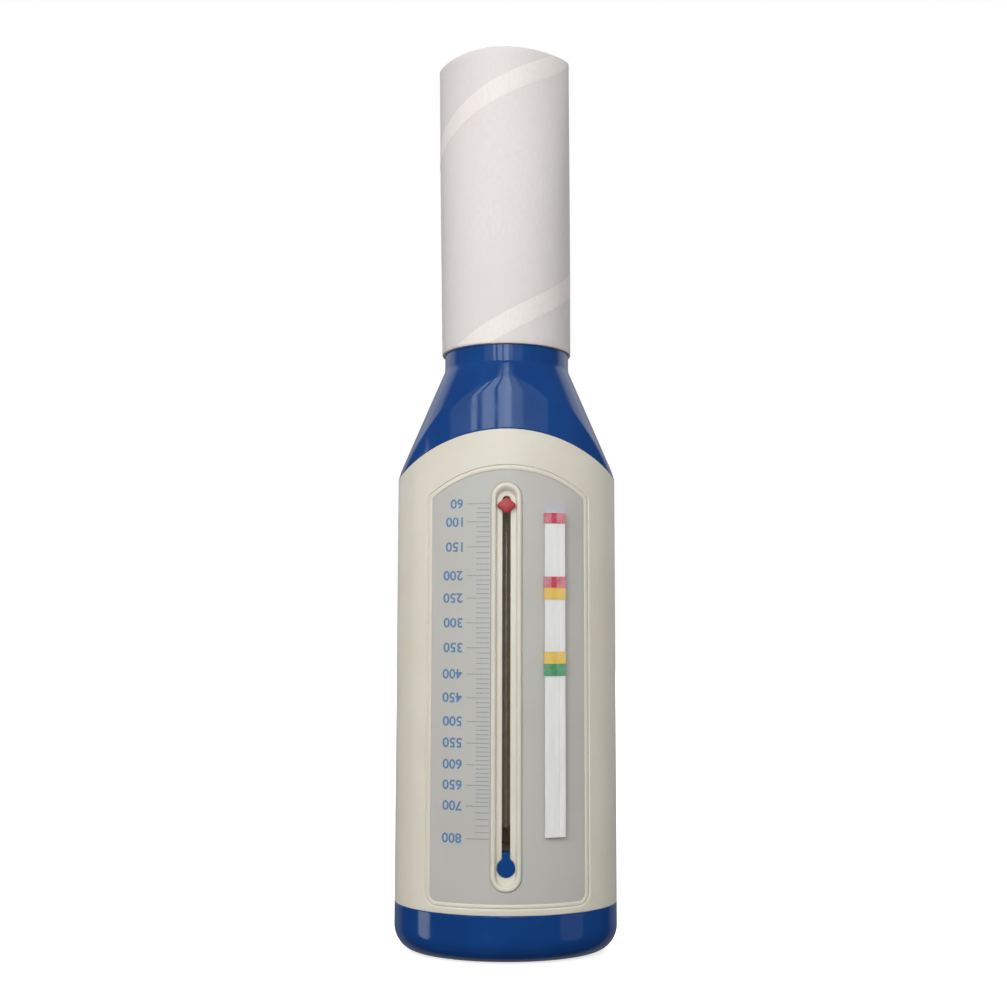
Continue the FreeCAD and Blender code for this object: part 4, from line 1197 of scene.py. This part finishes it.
def make_camera():
    lens = bpy.data.cameras.new("camera")
    lens.sensor_width = SENSOR
    lens.lens = SENSOR * FOCAL_PIXELS / IMAGE_PIXELS
    camera = placed("camera", lens)
    camera.location = Vector(CAMERA_PLACE) * MM
    turn = Matrix.Rotation(math.radians(90 + CAMERA_TILT), 3, "X")
    roll = Matrix.Rotation(math.radians(CAMERA_ROLL), 3, "Z")
    camera.rotation_euler = (turn @ roll).to_euler()
    bpy.context.scene.camera = camera


# Lamps, in metres: place, point faced, width and height, radiance, colour, whether mirrored, shape.
# A lamp either lights matt surfaces or is mirrored in glossy ones.
WARM = (1, 0.96, 0.92)
SKY = (0.8, 0.95, 1)
LAMPS = {
    "window": ((-0.1, -1.0, 0.45), (0, 0, 0.1), (1.4, 0.66), 1.35, (1, 0.99, 0.98)),
    "streak": ((-1.0, -0.42, -0.14), (0, 0, -0.14), (0.3, 0.8), 1.9, WARM, True, "ELLIPSE"),
    "far_streak": ((0.9, -0.75, -0.14), (0, 0, -0.14), (0.5, 0.8), 0.28, WARM, True, "ELLIPSE"),
    "key": ((-0.7, -0.9, 0.75), (0, 0, 0.1), (0.5, 0.5), 2.9, WARM),
    "front": ((-0.06, -0.32, 0.26), (0, 0, 0.14), (0.3, 0.2), 1.95, (1, 0.985, 0.97)),
    "back": ((0.25, 1.0, 0.55), (0, 0, 0.1), (0.9, 0.9), 2.5, (1, 0.98, 0.97)),
}
# Window in front of the body: left and right edge in metres, and radiance of each pane
WINDOW_Y = -1.0
WINDOW_LOW = 0.12
WINDOW_HIGH = 0.78
WINDOW_PANES = (
    (-0.88, -0.48, 0.55), (-0.46, -0.37, 3.4), (-0.30, -0.14, 3.2), (-0.10, -0.02, 3.4),
    (-0.02, 0.06, 4.2), (0.07, 0.2, 1.4), (0.21, 0.56, 0.5),
)


def soft_light(name, place, aim, size, radiance, colour, mirrored=False, shape="RECTANGLE"):
    lamp = bpy.data.lights.new(name, "AREA")
    lamp.shape = shape
    lamp.size, lamp.size_y = size
    lamp.energy = radiance * math.pi * size[0] * size[1]
    lamp.color = colour
    light = placed(name, lamp)
    light.location = place
    light.visible_diffuse = not mirrored
    light.visible_glossy = mirrored
    light.rotation_euler = (Vector(aim) - Vector(place)).to_track_quat("-Z", "Y").to_euler()


def make_lights():
    middle = (WINDOW_LOW + WINDOW_HIGH) / 2
    for number, (left, right, radiance) in enumerate(WINDOW_PANES):
        x, size = (left + right) / 2, (right - left, WINDOW_HIGH - WINDOW_LOW)
        place, aim = (x, WINDOW_Y, middle), (x, 0, middle)
        soft_light(f"pane_{number}", place, aim, size, radiance, SKY, mirrored=True)
    for name, values in LAMPS.items():
        soft_light(name, *values)


# Room in reflections: start and end of a soft step along an axis, and the level on both sides
ROOM_FRONT = (0.25, 0.5, 0.1, 0.85)
ROOM_BACK = (0.72, 1.0, 1.0, 0.3)
ROOM_LOW = (-0.3, 0.1, 0.3, 1.0)


def empty_tree(holder):
    """Node tree of a material or a world, with no nodes in it."""
    holder.use_nodes = True
    holder.node_tree.nodes.clear()
    return holder.node_tree


def make_world():
    """White for the camera, soft even light for the object, a darker room in reflections."""
    world = bpy.data.worlds.new("studio")
    bpy.context.scene.world = world
    tree = empty_tree(world)
    ray = node_of(tree, "LightPath").outputs
    direction = node_of(tree, "TexCoord").outputs["Generated"]
    split = node_of(tree, "SeparateXYZ", Vector=direction).outputs
    front = ranged(tree, split["Y"], *ROOM_FRONT, soft=True)
    back = ranged(tree, split["Y"], *ROOM_BACK, soft=True)
    low = ranged(tree, split["Z"], *ROOM_LOW, soft=True)
    level = result_of(tree, "Math", front, back, operation="MULTIPLY")
    level = result_of(tree, "Math", level, low, operation="MULTIPLY")
    ambient = result_of(tree, "Background", (1.0, 0.985, 0.965, 1), 0.42)
    mirrored = result_of(tree, "Background", (0.95, 0.98, 1, 1), level)
    backdrop = result_of(tree, "Background", (1, 1, 1, 1), 1.0)
    lighting = result_of(tree, "MixShader", ray["Is Glossy Ray"], ambient, mirrored)
    direct = ray["Is Camera Ray"], ray["Is Transmission Ray"]
    seen = result_of(tree, "Math", *direct, operation="MAXIMUM")
    node_of(tree, "OutputWorld", Surface=result_of(tree, "MixShader", seen, lighting, backdrop))


def make_floor():
    """Pale floor that keeps the object's shadow and is seen through from below."""
    mesh = bmesh.new()
    bmesh.ops.create_grid(mesh, x_segments=1, y_segments=1, size=3.0)
    data = bpy.data.meshes.new("floor")
    mesh.to_mesh(data)
    mesh.free()
    floor = placed("floor", data)
    floor.visible_glossy = False
    material = bpy.data.materials.new("floor")
    tree = empty_tree(material)
    seen = node_of(tree, "LightPath").outputs["Is Camera Ray"]
    underside = node_of(tree, "NewGeometry").outputs["Backfacing"]
    bounce = result_of(tree, "BsdfDiffuse", (0.27, 0.27, 0.26, 1))
    shown = result_of(tree, "BsdfDiffuse", (0.8, 0.8, 0.8, 1))
    glow = result_of(tree, "Emission", (1, 1, 1, 1), 0.72)
    clear = result_of(tree, "BsdfTransparent")
    above = result_of(tree, "MixShader", seen, bounce, result_of(tree, "AddShader", shown, glow))
    node_of(tree, "OutputMaterial", Surface=result_of(tree, "MixShader", underside, above, clear))
    data.materials.append(material)


blue = blue_plastic()
make_sleeve(cream_plastic())
make_panel(panel_film())
make_top_cap(blue)
make_bottom_cap(blue)
make_tube(card_paper())
# The ply's paper is painted a little lighter than the tube: the overlap is real, and the lighter
# colour is a painted highlight along the spiral seam.
make_ply(coat("ply_paper_painted_highlight", (248, 243, 242), (241, 236, 234), 0.62, PAPER_GRAIN, FIBRES, 0.005))
make_rail(rail_plastic())
make_markers()
make_plug(blue)
make_pointer(coat("red_plastic", (192, 54, 56), (172, 42, 46), 0.34, (2.2, 3), (0.35, 2), 0.002))
make_spring(metal("spring_steel", (150, 148, 144), (128, 126, 122), 0.3))
make_ticks(ink("tick_ink", (132, 146, 158), (158, 168, 176)))
make_numbers(ink("number_ink", (78, 124, 172), (104, 146, 186)))
make_patch(ink("patch_ink", (190, 193, 201), (196, 199, 205)))
dress_inside()
make_camera()
make_lights()
make_world()
make_floor()
bpy.context.scene.view_settings.view_transform = "Standard"
